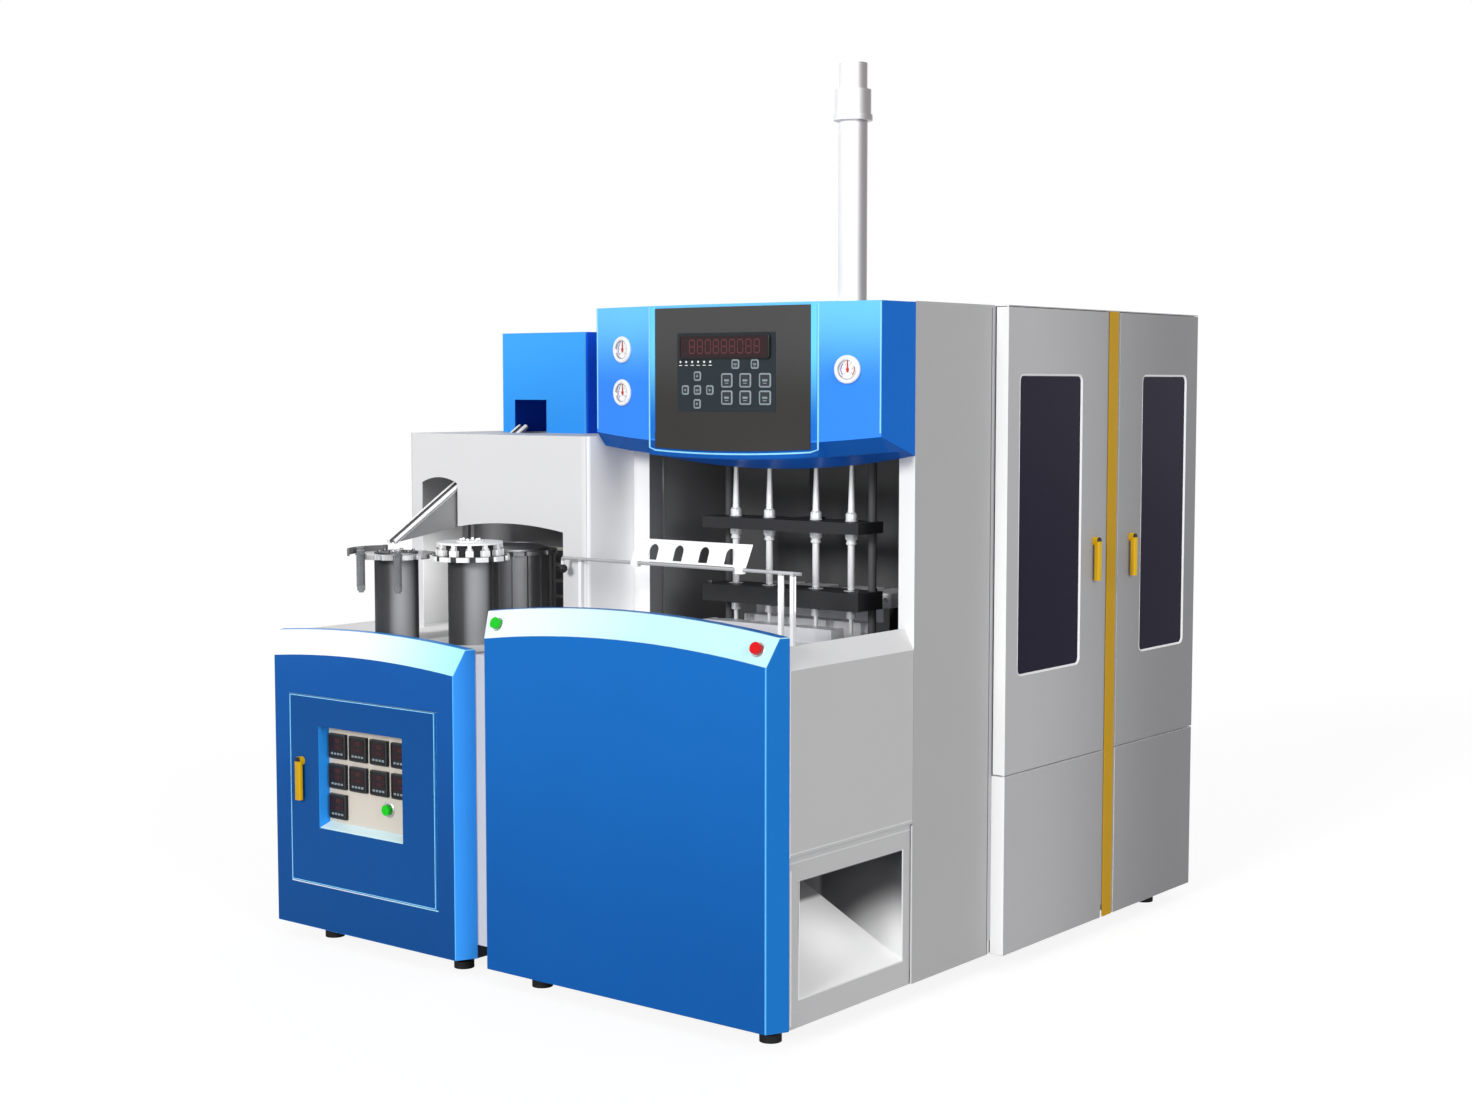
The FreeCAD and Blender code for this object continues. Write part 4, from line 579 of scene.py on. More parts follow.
class Piece:
    """A mesh that is put together from lofts, each set in its own place."""

    def __init__(self, name, material, slot, body="machine_body"):
        self.name, self.material, self.slot, self.body = name, material, slot, body
        self.points, self.faces = [], []

    def loft(self, rings, place=Matrix(), loop=False):
        """Joins rings of points; loop joins the last to the first, otherwise both ends are closed."""
        base = len(self.points)
        count = len(rings[0])
        for ring in rings:
            self.points += [place @ Vector(point) for point in ring]
        for row in range(len(rings) if loop else len(rings) - 1):
            low = base + row * count
            high = base + (row + 1) % len(rings) * count
            for step in range(count):
                after = (step + 1) % count
                self.faces.append((low + step, low + after, high + after, high + step))
        if not loop:
            last = base + (len(rings) - 1) * count
            self.faces.append(tuple(base + step for step in reversed(range(count))))
            self.faces.append(tuple(last + step for step in range(count)))
        return self

    def stack(self, place, outline, levels, loop=False):
        """A raised form on a face: outline(inset) at each (inset, height) of levels."""
        return self.loft([[(x, y, z) for x, y in outline(inset)] for inset, z in levels], place, loop)

    def pad(self, place, width, height, radius, levels):
        """A rounded plate or key."""
        return self.stack(place, lambda i: rounded(width - 2 * i, height - 2 * i, radius - i), levels)

    def rim(self, place, width, height, radius, section):
        """A closed moulding round a rounded rectangle; section gives (outwards, height) points."""
        return self.stack(place, lambda o: rounded(width + 2 * o, height + 2 * o, radius + o), section, True)

    def knob(self, place, levels, steps=32):
        """A turned form whose levels give (radius, height)."""
        return self.stack(place, lambda r: circle(r, steps), levels)

    def collar(self, place, section, steps=32):
        """A turned ring whose section gives (radius, height) points."""
        return self.stack(place, lambda r: circle(r, steps), section, True)

    def flat(self, place, outline, low, high):
        """An outline raised from one height to another."""
        return self.loft([[(x, y, z) for x, y in outline] for z in (low, high)], place)

    def bar(self, path, section, up):
        """A moulding swept along a path; section gives (sideways, upwards) points in millimetres."""
        rings = []
        for index, point in enumerate(path):
            ahead = path[min(index + 1, len(path) - 1)] - path[max(index - 1, 0)]
            side = ahead.cross(Vector(up(index) if callable(up) else up)).normalized()
            lift = side.cross(ahead).normalized()
            rings.append([point + (side * a + lift * b) * MM for a, b in section])
        return self.loft(rings)

    def done(self, smooth=35, bevel=0.0):
        mesh = bpy.data.meshes.new(self.name)
        mesh.from_pydata([tuple(point) for point in self.points], [], self.faces)
        mesh.validate()
        mesh.materials.append(MATERIALS[self.material])
        mesh.polygons.foreach_set("use_smooth", [True] * len(mesh.polygons))
        mesh.set_sharp_from_angle(angle=math.radians(smooth))
        piece = added(self.name, mesh)
        if bevel:
            soften(piece, bevel, 2)
        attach(piece, self.body)
        return piece


def pieces(*rows, body="machine_body"):
    """Empty pieces of one body, each row with a name, a material and a slot."""
    return [Piece(*row.split(), body) for row in rows]


def finish(*made):
    for piece in made:
        piece.done()


def half_round(width, height):
    """Section of a bead that lies on a face."""
    angles = [math.pi * step / 6 for step in range(7)]
    return [(math.cos(angle) * width / 2, math.sin(angle) * height) for angle in angles]


def bolt(piece, place, across, height):
    """A hexagonal head on a washer."""
    corner = across / 2 / math.cos(math.pi / 6)
    piece.knob(place, ((across * 0.75, 0.0), (across * 0.75, 1.2)), 20)
    piece.knob(shifted(place, 0, 0, 1.2), ((corner, 0.0), (corner, height * 0.8), (across / 2, height)), 6)


def bolt_ring(piece, place, radius, height):
    """Six bolts in a circle round a place."""
    for step in range(6):
        bolt(piece, shifted(spun(place, step / 6), radius, 0, height), 9, 5)


# ---- control head ----
HEAD_BULGE = 60.0        # how far the head's front bulges in plan
HEAD_SAG = 55.0          # how much lower its front edge is in the middle
HEAD_LOW = 1588.0        # height of that edge at the ends
HEAD_SLOPE = 0.335       # fall of the underside towards the back
ARC_REACH = 40.0         # the underside's arc runs this far past each end
PANEL_PROUD = 3.0        # how far the dark panel stands out
LIP_DROP = 42.0          # height of the lip under the head's front
LIP_LEAN = 34.0          # how far the lip's front leans back at the head's ends
ARC_STEPS = 24

HEAD_MIN, HEAD_MAX = span("control_head")
HEAD_MIDDLE = (HEAD_MIN.x + HEAD_MAX.x) / 2
HEAD_HALF = (HEAD_MAX.x - HEAD_MIN.x) / 2
HEAD_RADIUS = (HEAD_HALF ** 2 + HEAD_BULGE ** 2) / (2 * HEAD_BULGE)
PANEL_MIN, PANEL_MAX = span("control_panel")
HEAD_CENTRE = PANEL_MIN.y + PANEL_PROUD + HEAD_RADIUS
BEAD_LEFT, BEAD_RIGHT = PANEL_MIN.x - 26, PANEL_MAX.x + 24


def head_y(x):
    return HEAD_CENTRE - math.sqrt(HEAD_RADIUS ** 2 - (x - HEAD_MIDDLE) ** 2)


def head_normal(x):
    return Vector((x - HEAD_MIDDLE, head_y(x) - HEAD_CENTRE, 0))


def head_place(x, z, out=PANEL_PROUD):
    """A place on the head's bulged front, at first on the panel."""
    return facing(at(x, head_y(x), z) + head_normal(x).normalized() * out * MM, head_normal(x))


def head_line(*places):
    return [head_place(*place).translation for place in places]


def head_edge(x):
    """Height of the lower edge of the head's front at x."""
    half = HEAD_HALF + ARC_REACH
    radius = (half ** 2 + HEAD_SAG ** 2) / (2 * HEAD_SAG)
    sag = math.sqrt(radius ** 2 - (x - HEAD_MIDDLE) ** 2) - (radius - HEAD_SAG)
    return HEAD_LOW - sag + HEAD_SLOPE * (HEAD_CENTRE - HEAD_RADIUS + HEAD_BULGE - head_y(x))


def head_steps(left, right):
    return [left + (right - left) * step / ARC_STEPS for step in range(ARC_STEPS)] + [right]


def head_trims():
    """Light bead round the dark panel: down both sides and along the front's lower edge. Its light cyan, like
    that of the beads on the head's front corners, is a painted highlight on blue paint.
    """
    top = HEAD_MAX.z - 4
    drop = LIP_DROP - 15
    ends = [[(x, top - 30 * step) for step in range(11)] + [(x, head_edge(edge) - drop + 6)]
            for x, edge in ((BEAD_LEFT + 1, BEAD_LEFT), (BEAD_RIGHT - 1, BEAD_RIGHT))]
    between = [(x, head_edge(x) - drop) for x in head_steps(BEAD_LEFT, BEAD_RIGHT)[1:-1]]
    route = ends[0] + between + ends[1][::-1]
    bead, edges = pieces("head_bead cyan_trim blue_paint", "head_edges cyan_trim blue_paint")
    path = head_line(*((x, z, 0.2) for x, z in route))
    bead.bar(path, half_round(5, 2.4), lambda i: head_normal(route[i][0]))
    for x in (HEAD_MIN.x + 4, HEAD_MAX.x - 3):
        edges.bar(head_line((x, head_edge(x) + 10, 0.0), (x, top, 0.0)), half_round(4, 1.2), head_normal(x))
    finish(bead, edges)


# middle of each segment in half digits, and whether it lies flat
SEGMENTS = ((0, 1, True), (0.5, 0.5, False), (0.5, -0.5, False), (0, -1, True),
            (-0.5, -0.5, False), (-0.5, 0.5, False), (0, 0, True))
LIT = ("012345", "12", "01643", "01623", "5612", "05623", "054326", "012", "0123456", "012356")


def digits(piece, place, text, size):
    """Seven-segment digits, size high, set side by side about the place."""
    length, thick = size * 0.4, size * 0.09
    for index, digit in enumerate(text):
        centre = (index - (len(text) - 1) / 2) * size * 0.72
        for segment in LIT[int(digit)]:
            x, y, is_flat = SEGMENTS[int(segment)]
            width, height = (length, thick) if is_flat else (thick, length)
            spot = shifted(place, centre + x * size * 0.46, y * size / 2 * 0.92)
            piece.pad(spot, width, height, thick * 0.3, ((0, 0), (0, 0.3)))


DISPLAY = (-648.0, -336.0, 1796.0, 1855.0)    # its left, right, lower and upper edge


def control_display():
    """Dark window with dull red digits, its bezel and the row of lamps below it."""
    left, right, low, high = DISPLAY
    centre = head_place((left + right) / 2, (low + high) / 2)
    width, height = right - left, high - low
    bezel, glass, figures, lamps = pieces(
        "display_bezel black panel_plastic", "display_glass display_red tinted_glass",
        "display_digits digit_red dial", "display_lamps dial_white dial")
    bezel.rim(centre, width, height, 4, ((0, -1.5), (5, -1.5), (5, 1.2), (3.5, 2.2), (0, 2.2)))
    glass.pad(centre, width + 2, height + 2, 4, ((0, -1.5), (0, 0.6)))
    digits(figures, shifted(centre, 2, 1, 0.6), "880888088", 40)
    for step in range(6):
        x = -652 + step * 22.5
        lamps.knob(head_place(x, 1784), ((3.2, -1.5), (3.2, 0.8), (2.2, 1.5)), 16)
        lamps.pad(head_place(x, 1774.5), 12, 1.8, 0.6, ((0, -1), (0, 0.3)))
    finish(bezel, glass, figures, lamps)


# keys: place of the middle, size, and the mark, which is an arrow's turn or "bar"
KEYS = (((-587, 1744), 27, 0), ((-633, 1705), 27, 90), ((-541, 1705), 27, -90), ((-588, 1666), 27, 180),
        ((-587, 1705), 27, "bar"), ((-450, 1777), 27, "bar"), ((-384, 1777), 27, "bar"),
        *(((x, z), 40, "bar") for x in (-480, -416, -350) for z in (1732, 1684)))


def control_keys():
    """Keys with a pale rim, a darker cap and a printed mark."""
    frames, caps, marks = pieces(
        "key_rims key_pale panel_plastic", "key_caps key_dark panel_plastic", "key_marks key_pale dial")
    for (x, z), size, kind in KEYS:
        place = head_place(x, z)
        frames.rim(place, size - 9, size - 9, 2, ((0, -1.5), (4.5, -1.5), (4.5, 0.9), (3.6, 1.5), (0, 1.5)))
        caps.pad(place, size - 9, size - 9, 2, ((0, -1.5), (0, 1.0), (0.8, 1.6)))
        top = shifted(place, 0, 0, 1.6)
        if kind == "bar":
            marks.pad(top, size * 0.42, size * 0.14, 0.8, ((0, -0.2), (0, 0.25)))
            marks.pad(shifted(top, 0, -size * 0.2), size * 0.3, size * 0.06, 0.4, ((0, -0.2), (0, 0.25)))
        else:
            head = [(0, size * 0.2), (-size * 0.16, -size * 0.1), (size * 0.16, -size * 0.1)]
            marks.flat(spun(top, kind / 360), head, -0.2, 0.25)
    finish(frames, caps, marks)


GAUGES = ((HEAD_MIN.x + 128.0, 1822.0), (HEAD_MIN.x + 128.0, 1697.0), (HEAD_MAX.x - 96.0, 1761.0))
GAUGE_R = 36.0
NUMBERS_R = 14.6         # radius of the circle that the numbers stand on


def arc_band(inner, outer, start, end, steps=14):
    angles = [math.radians(start + (end - start) * s / steps) for s in range(steps + 1)]
    return ([(inner * math.sin(a), inner * math.cos(a)) for a in angles]
            + [(outer * math.sin(a), outer * math.cos(a)) for a in reversed(angles)])


def numeral(text, place, name):
    """A printed number, as a flat mesh on its face."""
    curve = bpy.data.curves.new(name, "FONT")
    curve.body = text
    curve.size = 5.0
    curve.align_x = curve.align_y = "CENTER"
    curve.extrude = 0.06
    word = bpy.data.objects.new(name + "_text", curve)
    mesh = bpy.data.meshes.new_from_object(word)
    bpy.data.objects.remove(word)
    mesh.transform(place)
    mesh.materials.clear()
    mesh.materials.append(MATERIALS["black"])
    piece = added(name, mesh)
    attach(piece, "machine_body")


def gauge_dials():
    """White bezel with a dark inner ring, a printed scale with numbers, and coloured zones."""
    bezels, rings, ticks, red, blue = pieces(
        "gauge_bezels white_paint dial", "gauge_rings steel steel", "gauge_ticks black panel_plastic",
        "gauge_red_zones dial_red red_plastic", "gauge_blue_zones dial_blue dial")
    r = GAUGE_R
    for number, (x, z) in enumerate(GAUGES, 1):
        rim = head_place(x, z, 8.0)
        dial = head_place(x, z, 2.05)
        bezels.collar(rim, ((r - 8, -4), (r + 2, -7.5), (r + 3, -3), (r + 1, 1.0), (r - 3, 2.4),
                            (r - 8, 0.6)), 48)
        rings.collar(rim, ((r - 11.5, -5.5), (r - 8, -5.5), (r - 8, 0.4), (r - 9.5, 0.8), (r - 11.5, -2.5)), 48)
        for step in range(21):
            width, length = (0.5, 2.4) if step % 4 else (0.9, 4.2)
            spot = shifted(spun(dial, (135 - step * 13.5) / 360), 0, 22.5 - length / 2)
            ticks.pad(spot, width, length, 0.1, ((0, 0), (0, 0.15)))
        red.flat(dial, arc_band(18.6, 21.2, 67, 135), 0.0, 0.18)
        blue.flat(dial, arc_band(18.6, 21.2, -135, -40), 0.0, 0.18)
        for index in range(6):
            angle = math.radians(-135 + index * 54)
            spot = shifted(dial, NUMBERS_R * math.sin(angle), NUMBERS_R * math.cos(angle), 0.1)
            numeral(str(2 * index), spot, "gauge_%d_number_%d" % (number, 2 * index))
    finish(bezels, rings, ticks, red, blue)


def head_lip():
    """Folded lip under the head's front: upright below the panel, leaning back at both sides."""
    left, right = BEAD_LEFT, BEAD_RIGHT
    rings = []
    for x in (HEAD_MIN.x + 0.2, (HEAD_MIN.x + left) / 2, left - 3, *head_steps(left, right), right + 3,
              (right + HEAD_MAX.x) / 2, HEAD_MAX.x - 0.2):
        lean = 0.0 if left <= x <= right else LIP_LEAN
        y, edge = head_y(x), head_edge(x)
        low = edge - LIP_DROP
        back = y + LIP_DROP / HEAD_SLOPE
        rings.append([at(x, y, edge), at(x, y + lean * 0.5, edge - LIP_DROP * 0.45), at(x, y + lean, low + 3),
                      at(x, y + lean + 3, low), at(x, back - 4, low), at(x, back + 6, low + 2)])
    Piece("head_lip", "lip_blue", "blue_paint").loft(rings).done(30)
    strips = Piece("panel_strips", "trim_blue", "blue_paint")
    for x0, x1 in ((left + 5, PANEL_MIN.x - 1), (PANEL_MAX.x + 1, right - 5)):
        section = ((x0, -0.5), (x0, 1.0), (x0 + 1.5, 2.0), (x1 - 1.5, 2.0), (x1, 1.0), (x1, -0.5))
        strips.loft([head_line(*((x, z, out) for x, out in section))
                     for z in (head_edge((x0 + x1) / 2) + 6, HEAD_MAX.z - 3)])
    strips.done(30)
    rings = []
    for x in head_steps(PANEL_MIN.x, PANEL_MAX.x):
        top, low = head_edge(x) + 24, head_edge(x) - 19
        rings.append(head_line((x, top, 0.0), (x, top), (x, low + 1), (x, low, PANEL_PROUD - 1), (x, low, 0.0)))
    Piece("panel_foot", "panel_dark", "panel_plastic").loft(rings).done(30)


# ---- doors, handles and side covers ----
def window_gaskets():
    """Light moulding round each door window."""
    for door in ("front_door", "rear_door"):
        low, high = span(door + "_window")
        size = high - low
        place = facing(at(span(door)[1].x, (low.y + high.y) / 2, (low.z + high.z) / 2), (1, 0, 0))
        section = ((0.3, -9.5), (0.3, 0.5), (-0.6, 0.9), (-1.6, 0.4), (-9, -8), (-9, -9.5))
        gasket = Piece(door + "_gasket", "gasket", "white_paint", door)
        gasket.rim(place, size.y - 8, size.z - 8, 22, section).done()


def handle_pivots():
    """Dark cap on each handle's pivot, above the lever and a little behind its face."""
    for body in ("front_door_handle", "rear_door_handle", "cabinet_door_handle"):
        low, high = span(body)
        centre, z = middle(body), high.z - 12
        side = body != "cabinet_door_handle"
        place = facing(at(high.x, centre.y, z), (1, 0, 0)) if side else forward(centre.x, low.y, z)
        cap = Piece(body + "_cap", "black", "panel_plastic", body)
        cap.knob(place, ((10.8, -6.5), (10.8, -2.2), (9.6, -1.2))).done()


def side_trims():
    """Folds on the side panel's ledge, edges of the discharge opening, and seams of the covers."""
    low, high = span("side_panel")
    chute_low, chute_high = span("discharge_chute")
    column_low, column_high = span("right_column")
    x = chute_high.x
    for name, material, slot, beads in (
            # each bead's start and end, width and rise
            ("ledge_folds", "seam_grey", "grey_paint", (
                ((0, low.y + 2, 514), (0, high.y - 2, 514), 4, 1.0),
                ((x, low.y + 2, 488), (x, high.y - 2, 488), 4, 1.0))),
            ("chute_edges", "gasket", "white_paint", (
                ((x, chute_high.y - 3, chute_low.z), (x, chute_high.y - 3, chute_high.z), 6, 1.0),
                ((x, chute_low.y + 2, chute_low.z), (x, chute_low.y + 2, chute_high.z), 3, 1.0),
                ((x, chute_low.y, chute_low.z + 2), (x, chute_high.y, chute_low.z + 2), 3, 1.0),
                ((x, low.y + 12, 60), (x, low.y + 12, 470), 5, 0.8))),
            ("cover_seams", "seam_dark", "grey_paint", (
                ((0, column_high.y - 2.5, column_low.z + 2), (0, column_high.y - 2.5, column_high.z - 4),
                 3.5, 0.7),)),
            ("cover_fillers", "seam_grey", "grey_paint", (
                ((-2, high.y - 2, low.z + 2), (-2, high.y - 2, 500), 7, 1.9),
                ((-3, column_high.y + 7.5, column_low.z + 2), (-3, column_high.y + 7.5, 108), 14, 2.6)))):
        piece = Piece(name, material, slot)
        for start, end, width, rise in beads:
            piece.bar([at(*start), at(*end)], half_round(width, rise), (1, 0, 0))
        piece.done()


# ---- console and left cabinet ----
BUTTON_STAND = 16.3      # height of a button's cap above the face that it stands on
BUTTON_HOLE = 17.2       # inner radius of its bezel
SILL_RISE = 15.0         # how much the window's sill slopes up towards the instruments


def button_seat(node):
    """Where a console button's axis meets the sloped band, and the way it looks."""
    axis = next(joint["axis"] for joint in frame["joints"] if joint["name"] == node + "_press")
    normal = -Vector(axis).normalized()
    points = [vertex.co for vertex in frame["nodes"][node].data.vertices]
    reach = max(point.dot(normal) for point in points)
    face = [point for point in points if point.dot(normal) > reach - 0.0001]
    return facing(sum(face, Vector()) / len(face) - normal * BUTTON_STAND * MM, normal)


def button_collars():
    """Metal bezel round each push button."""
    hole = BUTTON_HOLE
    bezels = Piece("console_bezels", "steel", "steel")
    section = ((hole, -1.5), (20.5, -1.5), (20.5, 0.6), (19.3, 1.8), (hole, 1.8))
    for node in ("green_button", "red_button"):
        bezels.collar(button_seat(node), section, 40)
    bezel = Piece("cabinet_bezel", "steel", "steel", "cabinet_door")
    centre = middle("cabinet_button")
    place = forward(centre.x, span("instrument_panel")[0].y, centre.z)
    bezel.collar(place, ((hole, 0), (24, 0), (24, 2), (21.5, 3.6), (hole, 3.6)), 40)
    finish(bezels, bezel)


def door_outline():
    """Light bead round the cabinet door, and the light sill under its instruments, both painted highlights on
    blue paint.
    """
    low, high = span("cabinet_door")
    panel_low, panel_high = span("instrument_panel")
    front, back, foot = low.y + 4, panel_low.y + 0.5, panel_low.z + 0.5
    rise = [(front, foot), (front, panel_low.z + 2), (back, panel_low.z + SILL_RISE), (back, foot)]
    sill, bead = pieces(
        "window_sill sill_white blue_paint", "door_bead cyan_trim blue_paint", body="cabinet_door")
    sill.loft([[at(x, y, z) for y, z in rise] for x in (panel_low.x + 1, panel_high.x - 1)]).done(30)
    place = forward((low.x + high.x) / 2, low.y, (low.z + high.z) / 2)
    section = ((0, -0.2), (2.4, -0.2), (2.1, 0.9), (0.3, 0.9))
    bead.rim(place, high.x - low.x - 8, high.z - low.z - 8, 1, section).done()


def instrument_faces():
    """Rim, display with digits and four keys on each square instrument."""
    face = span("instruments")[0].y
    panel_low, panel_high = span("instrument_panel")
    column = (panel_high.x - panel_low.x) / 4
    rims, screens, figures, keys = pieces(
        "instrument_rims key_dark panel_plastic", "instrument_screens display_red tinted_glass",
        "instrument_digits digit_red dial", "instrument_keys key_pale panel_plastic", body="cabinet_door")
    for row, count in enumerate((4, 4, 1)):
        for index in range(count):
            place = forward(panel_low.x + column * (index + 0.5), face, panel_high.z - column * (2 / 3 + row))
            rims.rim(place, 68, 68, 4, ((0, -0.5), (4, -0.5), (4, 1.2), (2.6, 2.4), (0, 2.4)))
            for line, text in enumerate(("180", "175")):
                spot = shifted(place, 0, 18 - line * 21)
                screens.pad(spot, 54, 17, 1.5, ((0, -0.5), (0, 0.9)))
                digits(figures, shifted(spot, 0, 0, 0.9), text, 12 - 3 * line)
            for step in range(4):
                keys.pad(shifted(place, -21 + 14 * step, -23), 9.5, 6.5, 1.5, ((0, -0.5), (0, 1.2), (0.6, 1.7)))
    finish(rims, screens, figures, keys)


# ---- blow station ----
STATION_X = middle("nozzle_plate").x
ROD_XS = [STATION_X + offset for offset in (-211.0, -85.0, 85.0, 211.0)]
ROD_Y = middle("stretch_rods").y
# radius and height up each rod: tip, grooved collar, and the long taper above it
ROD_PROFILE = ((6.0, 1005), (6.0, 1133), (9.6, 1133), (10.2, 1134), (10.2, 1261.5), (13.0, 1262.5),
               (15.0, 1264), (15.0, 1270), (13.2, 1272), (13.2, 1275), (17.0, 1278), (18.0, 1281),
               (18.0, 1331), (16.5, 1333), (16.5, 1350), (15.0, 1352.5), (11.0, 1356), (10.0, 1362),
               (9.0, 1400), (7.2, 1450), (5.4, 1500), (4.6, 1560), (4.4, 1699), (4.0, 1700))


def rod_fittings():
    """Stretch rods with grooved collars and tapered necks, and the nozzle plate's seals and bolts."""
    rods, bushes = pieces("stretch_rod_set rod_white steel", "rod_bushes steel steel", body="stretch_plate")
    seals, bolts = pieces("nozzle_seals rod_white steel", "plate_bolts black_steel steel", body="nozzle_plate")
    nozzle_low, nozzle_high = span("nozzle_plate")
    plate_low, plate_high = span("stretch_plate")
    bush = ((18.2, -0.5), (25, -0.5), (25, 0.8), (24, 1.6), (18.2, 1.6))
    for x in ROD_XS:
        rods.knob(upward(x, ROD_Y), ROD_PROFILE)
        for z, way in ((plate_low.z, -1), (plate_high.z, 1)):
            bushes.collar(upward(x, ROD_Y, z, way), bush, 36)
        seals.collar(upward(x, ROD_Y, nozzle_high.z),
                     ((13.0, -0.5), (22, -0.5), (22, 0.3), (21.4, 0.8), (13.0, 0.8)), 36)
        seals.collar(upward(x, ROD_Y, nozzle_low.z, -1),
                     ((11.0, -0.5), (13.6, -0.5), (13.6, 26), (12.4, 28), (11.0, 28)), 36)
    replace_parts(rods.done(), "stretch_rods")
    for x in (nozzle_low.x + 16, nozzle_high.x - 16):
        for y in (nozzle_low.y + 16, nozzle_high.y - 16):
            bolt(bolts, upward(x, y, nozzle_high.z), 12, 7)
    finish(bushes, seals, bolts)


def platen_blocks():
    """Silver clamp blocks on the rear platen, one behind each rod, with two cooling hose nipples."""
    low, high = span("rear_platen")
    blocks, nipples = pieces(
        "platen_blocks block_silver aluminium", "platen_nipples steel steel", body="rear_mould")
    for x in ROD_XS:
        place = upward(x, (low.y + high.y) / 2, high.z)
        blocks.pad(place, 98, high.y - low.y - 2, 3, ((0, -0.5), (0, 40), (1.5, 42)))
        for side in (-30, 30):
            spot = forward(x + side, low.y + 1, high.z + 22)
            nipples.knob(spot, ((8, -0.5), (8, 1.6), (7.2, 2.4), (4, 2.4)), 20)
    blocks.done(bevel=1.0)
    nipples.done()


def rail_knob():
    """Dark ball on the left end of the rail in front of the station."""
    place = facing(at(span("transfer_rail")[0].x + 13, middle("transfer_rail").y, 1174), (-1, 0, 0))
    levels = [(13.4 * math.sin(math.pi * s / 12), -13.4 * math.cos(math.pi * s / 12)) for s in range(1, 12)]
    Piece("rail_ball", "black", "panel_plastic").knob(place, levels).done(60)


# ---- star wheels ----
DISC_UNDER = 1248.0      # underside of the transfer star's upper disc
POCKETS = 12


def star_details():
    """Gripper blocks between the transfer star's wheel and its disc, and bolted hub plates."""
    top = on_axis("transfer_star")
    core, blocks, pins, caps, hub = pieces(
        "gripper_core black dark_paint", "gripper_blocks rail_white white_paint", "gripper_pins steel steel",
        "transfer_cap rail_white white_paint", "transfer_hub_bolts steel steel", body="transfer_star")
    core.collar(top, ((49.5, 1214.2), (84, 1214.2), (84, DISC_UNDER - 0.2), (49.5, DISC_UNDER - 0.2)), 48)
    for step in range(POCKETS):
        turn = spun(top, (step + 0.5) / POCKETS)
        blocks.pad(shifted(turn, 91, 0), 20, 24, 2, ((0.6, 1214.2), (0, 1215), (0, 1231), (0.6, 1232)))
        blocks.pad(shifted(turn, 90, 0), 16, 12, 2, ((0.6, 1232), (0, 1232.6), (0, DISC_UNDER - 0.2)))
        for side in (8, -8):
            pins.knob(shifted(turn, 97, side), ((2.6, 1232), (2.6, 1238), (1.8, 1239)), 12)
    caps.knob(top, ((40, DISC_UNDER + 5.9), (40, DISC_UNDER + 9), (38, DISC_UNDER + 10)), 48)
    bolt_ring(hub, top, 28, DISC_UNDER + 10)
    place = on_axis("infeed_star")
    plate = Piece("infeed_hub", "drum_dark", "steel", "infeed_star")
    plate.knob(place, ((66, 1213.9), (66, 1217), (64.5, 1218.5)), 48)
    bolt_ring(plate, place, 52, 1218.5)
    finish(core, blocks, pins, caps, hub, plate)


def turret_details():
    """Ringed cap on the turret."""
    low, high = span("turret")
    outer = (high.x - low.x) / 2 - 34
    section = ((88, -14), (outer, -14), (outer, -9), (outer - 6, -6), (92, 1), (88, 1))
    Piece("turret_cap", "cap_grey", "steel", "turret").collar(on_axis("turret", high.z), section, 72).done()


# ---- scene ----
CAMERA_AT = (4.21626, -5.34677, 1.71888)
CAMERA_TURN = (90 - 4.4818, 0.0, 38.5425)
CAMERA_LENS = 52.08
AMBIENT = 0.34
FLOOR_HALF = 30.0
FLOOR_GLOW = 1.16
# suns: the way their light goes, energy and angle; lamps: place, way, energy and size
SUNS = {"key": ((-0.05, 1.0, -0.34), 2.05, 16), "side": ((-0.95, 0.25, -0.3), 1.15, 30)}
LAMPS = {"chute_lamp": ((-70, 420, 405), (0.0, 0.1, -1), 0.22, 0.12),
         "oven_lamp": ((-1600, 450, 1120), (-1, 0.0, -0.1), 0.3, 0.2),
         "bay_lamp": ((-250, 300, 1300), (-1, 0.3, 0.0), 0.5, 0.4)}


def camera():
    data = bpy.data.cameras.new("camera")
    data.lens = CAMERA_LENS
    data.sensor_width = 36.0
    data.clip_end = 100.0
    view = added("camera", data)
    view.location = CAMERA_AT
    view.rotation_euler = [math.radians(angle) for angle in CAMERA_TURN]
    bpy.context.scene.camera = view


def light(name, kind, way, energy):
    data = bpy.data.lights.new(name, kind)
    data.energy = energy
    thing = added(name, data)
    thing.rotation_euler = Vector(way).to_track_quat("-Z", "Y").to_euler()
    return thing


def lights():
    """Two suns, and small soft lamps inside the machine that aren't seen themselves."""
    for name, (way, energy, angle) in SUNS.items():
        light(name, "SUN", way, energy).data.angle = math.radians(angle)
    for name, (place, way, energy, size) in LAMPS.items():
        lamp = light(name, "AREA", way, energy)
        lamp.data.size = size
        lamp.location = at(*place)
        lamp.visible_camera = False
        lamp.visible_glossy = False


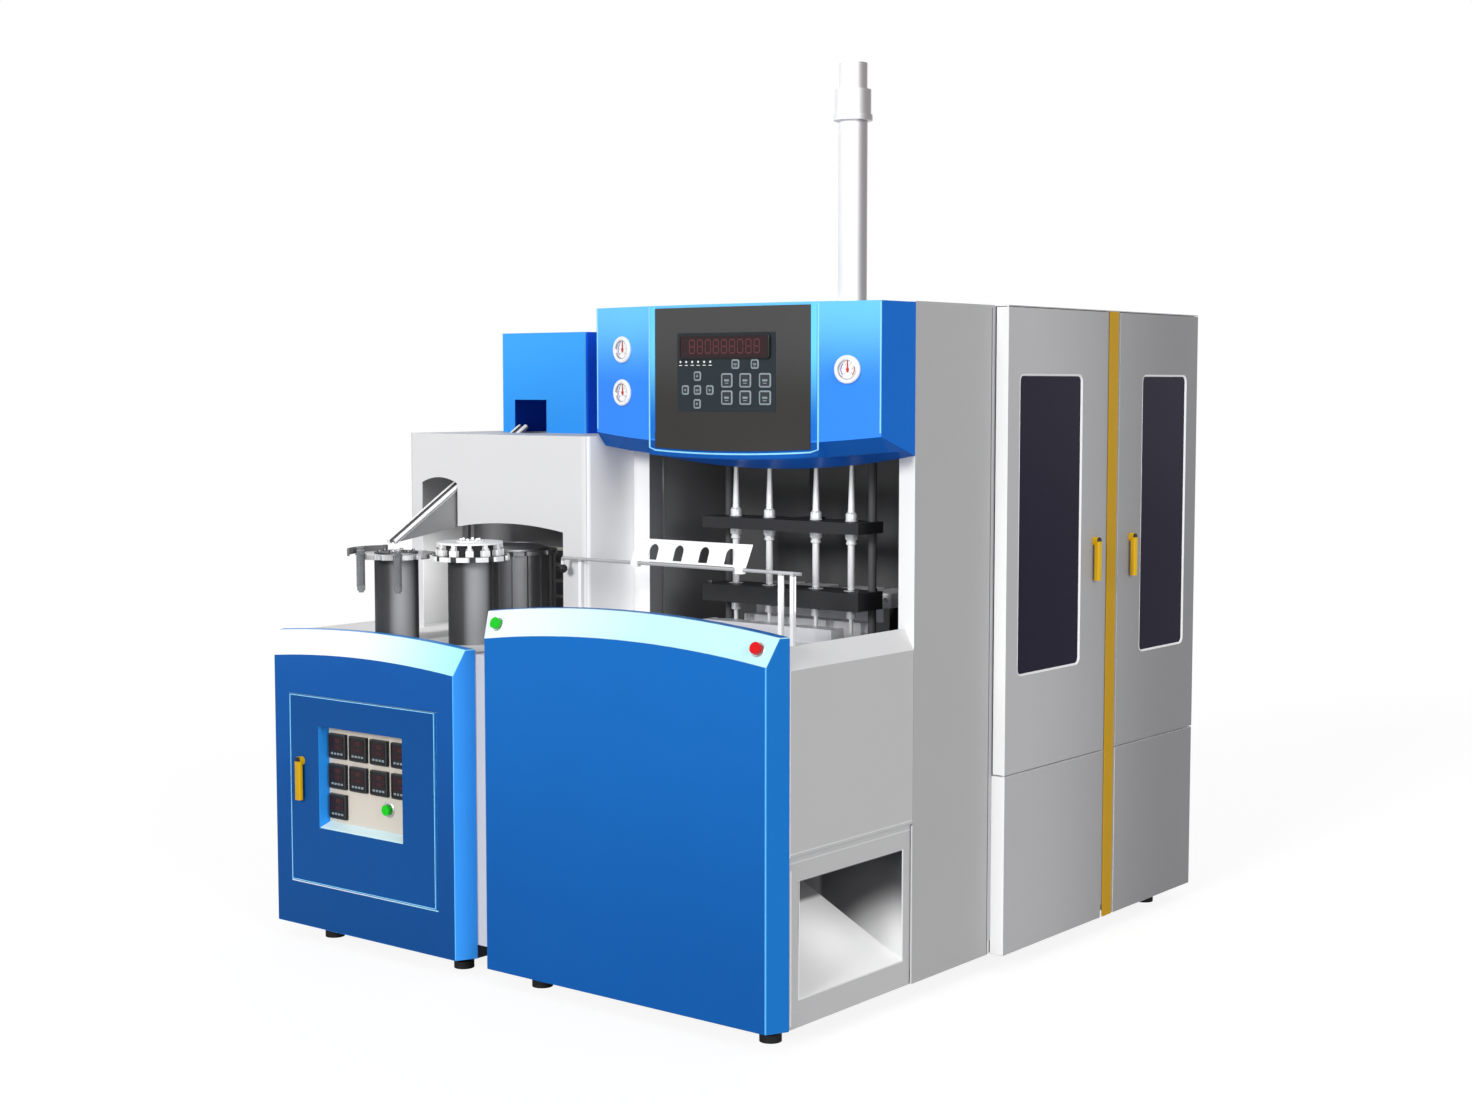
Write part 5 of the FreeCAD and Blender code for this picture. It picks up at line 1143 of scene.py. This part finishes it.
def world():
    """Even soft light, with a white surround for the camera, glossy and clear surfaces."""
    sky = bpy.data.worlds.new("studio")
    bpy.context.scene.world = sky
    sky.use_nodes = True
    nodes, links = sky.node_tree.nodes, sky.node_tree.links
    path = nodes.new("ShaderNodeLightPath")
    seen = path.outputs["Is Camera Ray"]
    for ray in ("Is Glossy Ray", "Is Transmission Ray"):
        either = nodes.new("ShaderNodeMath")
        either.operation = "MAXIMUM"
        links.new(seen, either.inputs[0])
        links.new(path.outputs[ray], either.inputs[1])
        seen = either.outputs[0]
    strength = nodes.new("ShaderNodeMapRange")
    strength.inputs["To Min"].default_value = AMBIENT
    links.new(seen, strength.inputs["Value"])
    background = nodes["Background"]
    background.inputs["Color"].default_value = (1, 1, 1, 1)
    links.new(strength.outputs[0], background.inputs["Strength"])


def floor():
    """Pale floor that keeps a soft shadow and runs into the white surround."""
    mesh = bpy.data.meshes.new("floor")
    h = FLOOR_HALF
    mesh.from_pydata([(-h, -h, 0), (h, -h, 0), (h, h, 0), (-h, h, 0)], [], [(0, 1, 2, 3)])
    ground = added("floor", mesh)
    coat = Surface("floor", Roughness=0.9, Base_Color=(0.82, 0.82, 0.82, 1))
    glow = coat.add("Emission", {"Color": (1, 1, 1, 1), "Strength": FLOOR_GLOW})
    seen = coat.times(coat.add("LightPath").outputs["Is Camera Ray"], 0.75)
    mixed = coat.add("MixShader", {0: seen, 1: coat.shader.outputs[0], 2: glow.outputs[0]})
    coat.plug(coat.tree.nodes["Material Output"].inputs["Surface"], mixed.outputs[0])
    mesh.materials.append(coat.material)


# ---- everything ----
dress_nodes()
for radius, sheet_nodes in BENDS.items():
    for sheet_node in sheet_nodes.split():
        soften(frame["nodes"][sheet_node], radius, 3, weld=True)
bpy.context.scene.view_settings.view_transform = "Standard"
for build in (head_trims, control_display, control_keys, gauge_dials, window_gaskets, handle_pivots,
              button_collars, door_outline, instrument_faces, rod_fittings, platen_blocks, star_details,
              turret_details, rail_knob, side_trims, head_lip, camera, world, floor, lights):
    build()
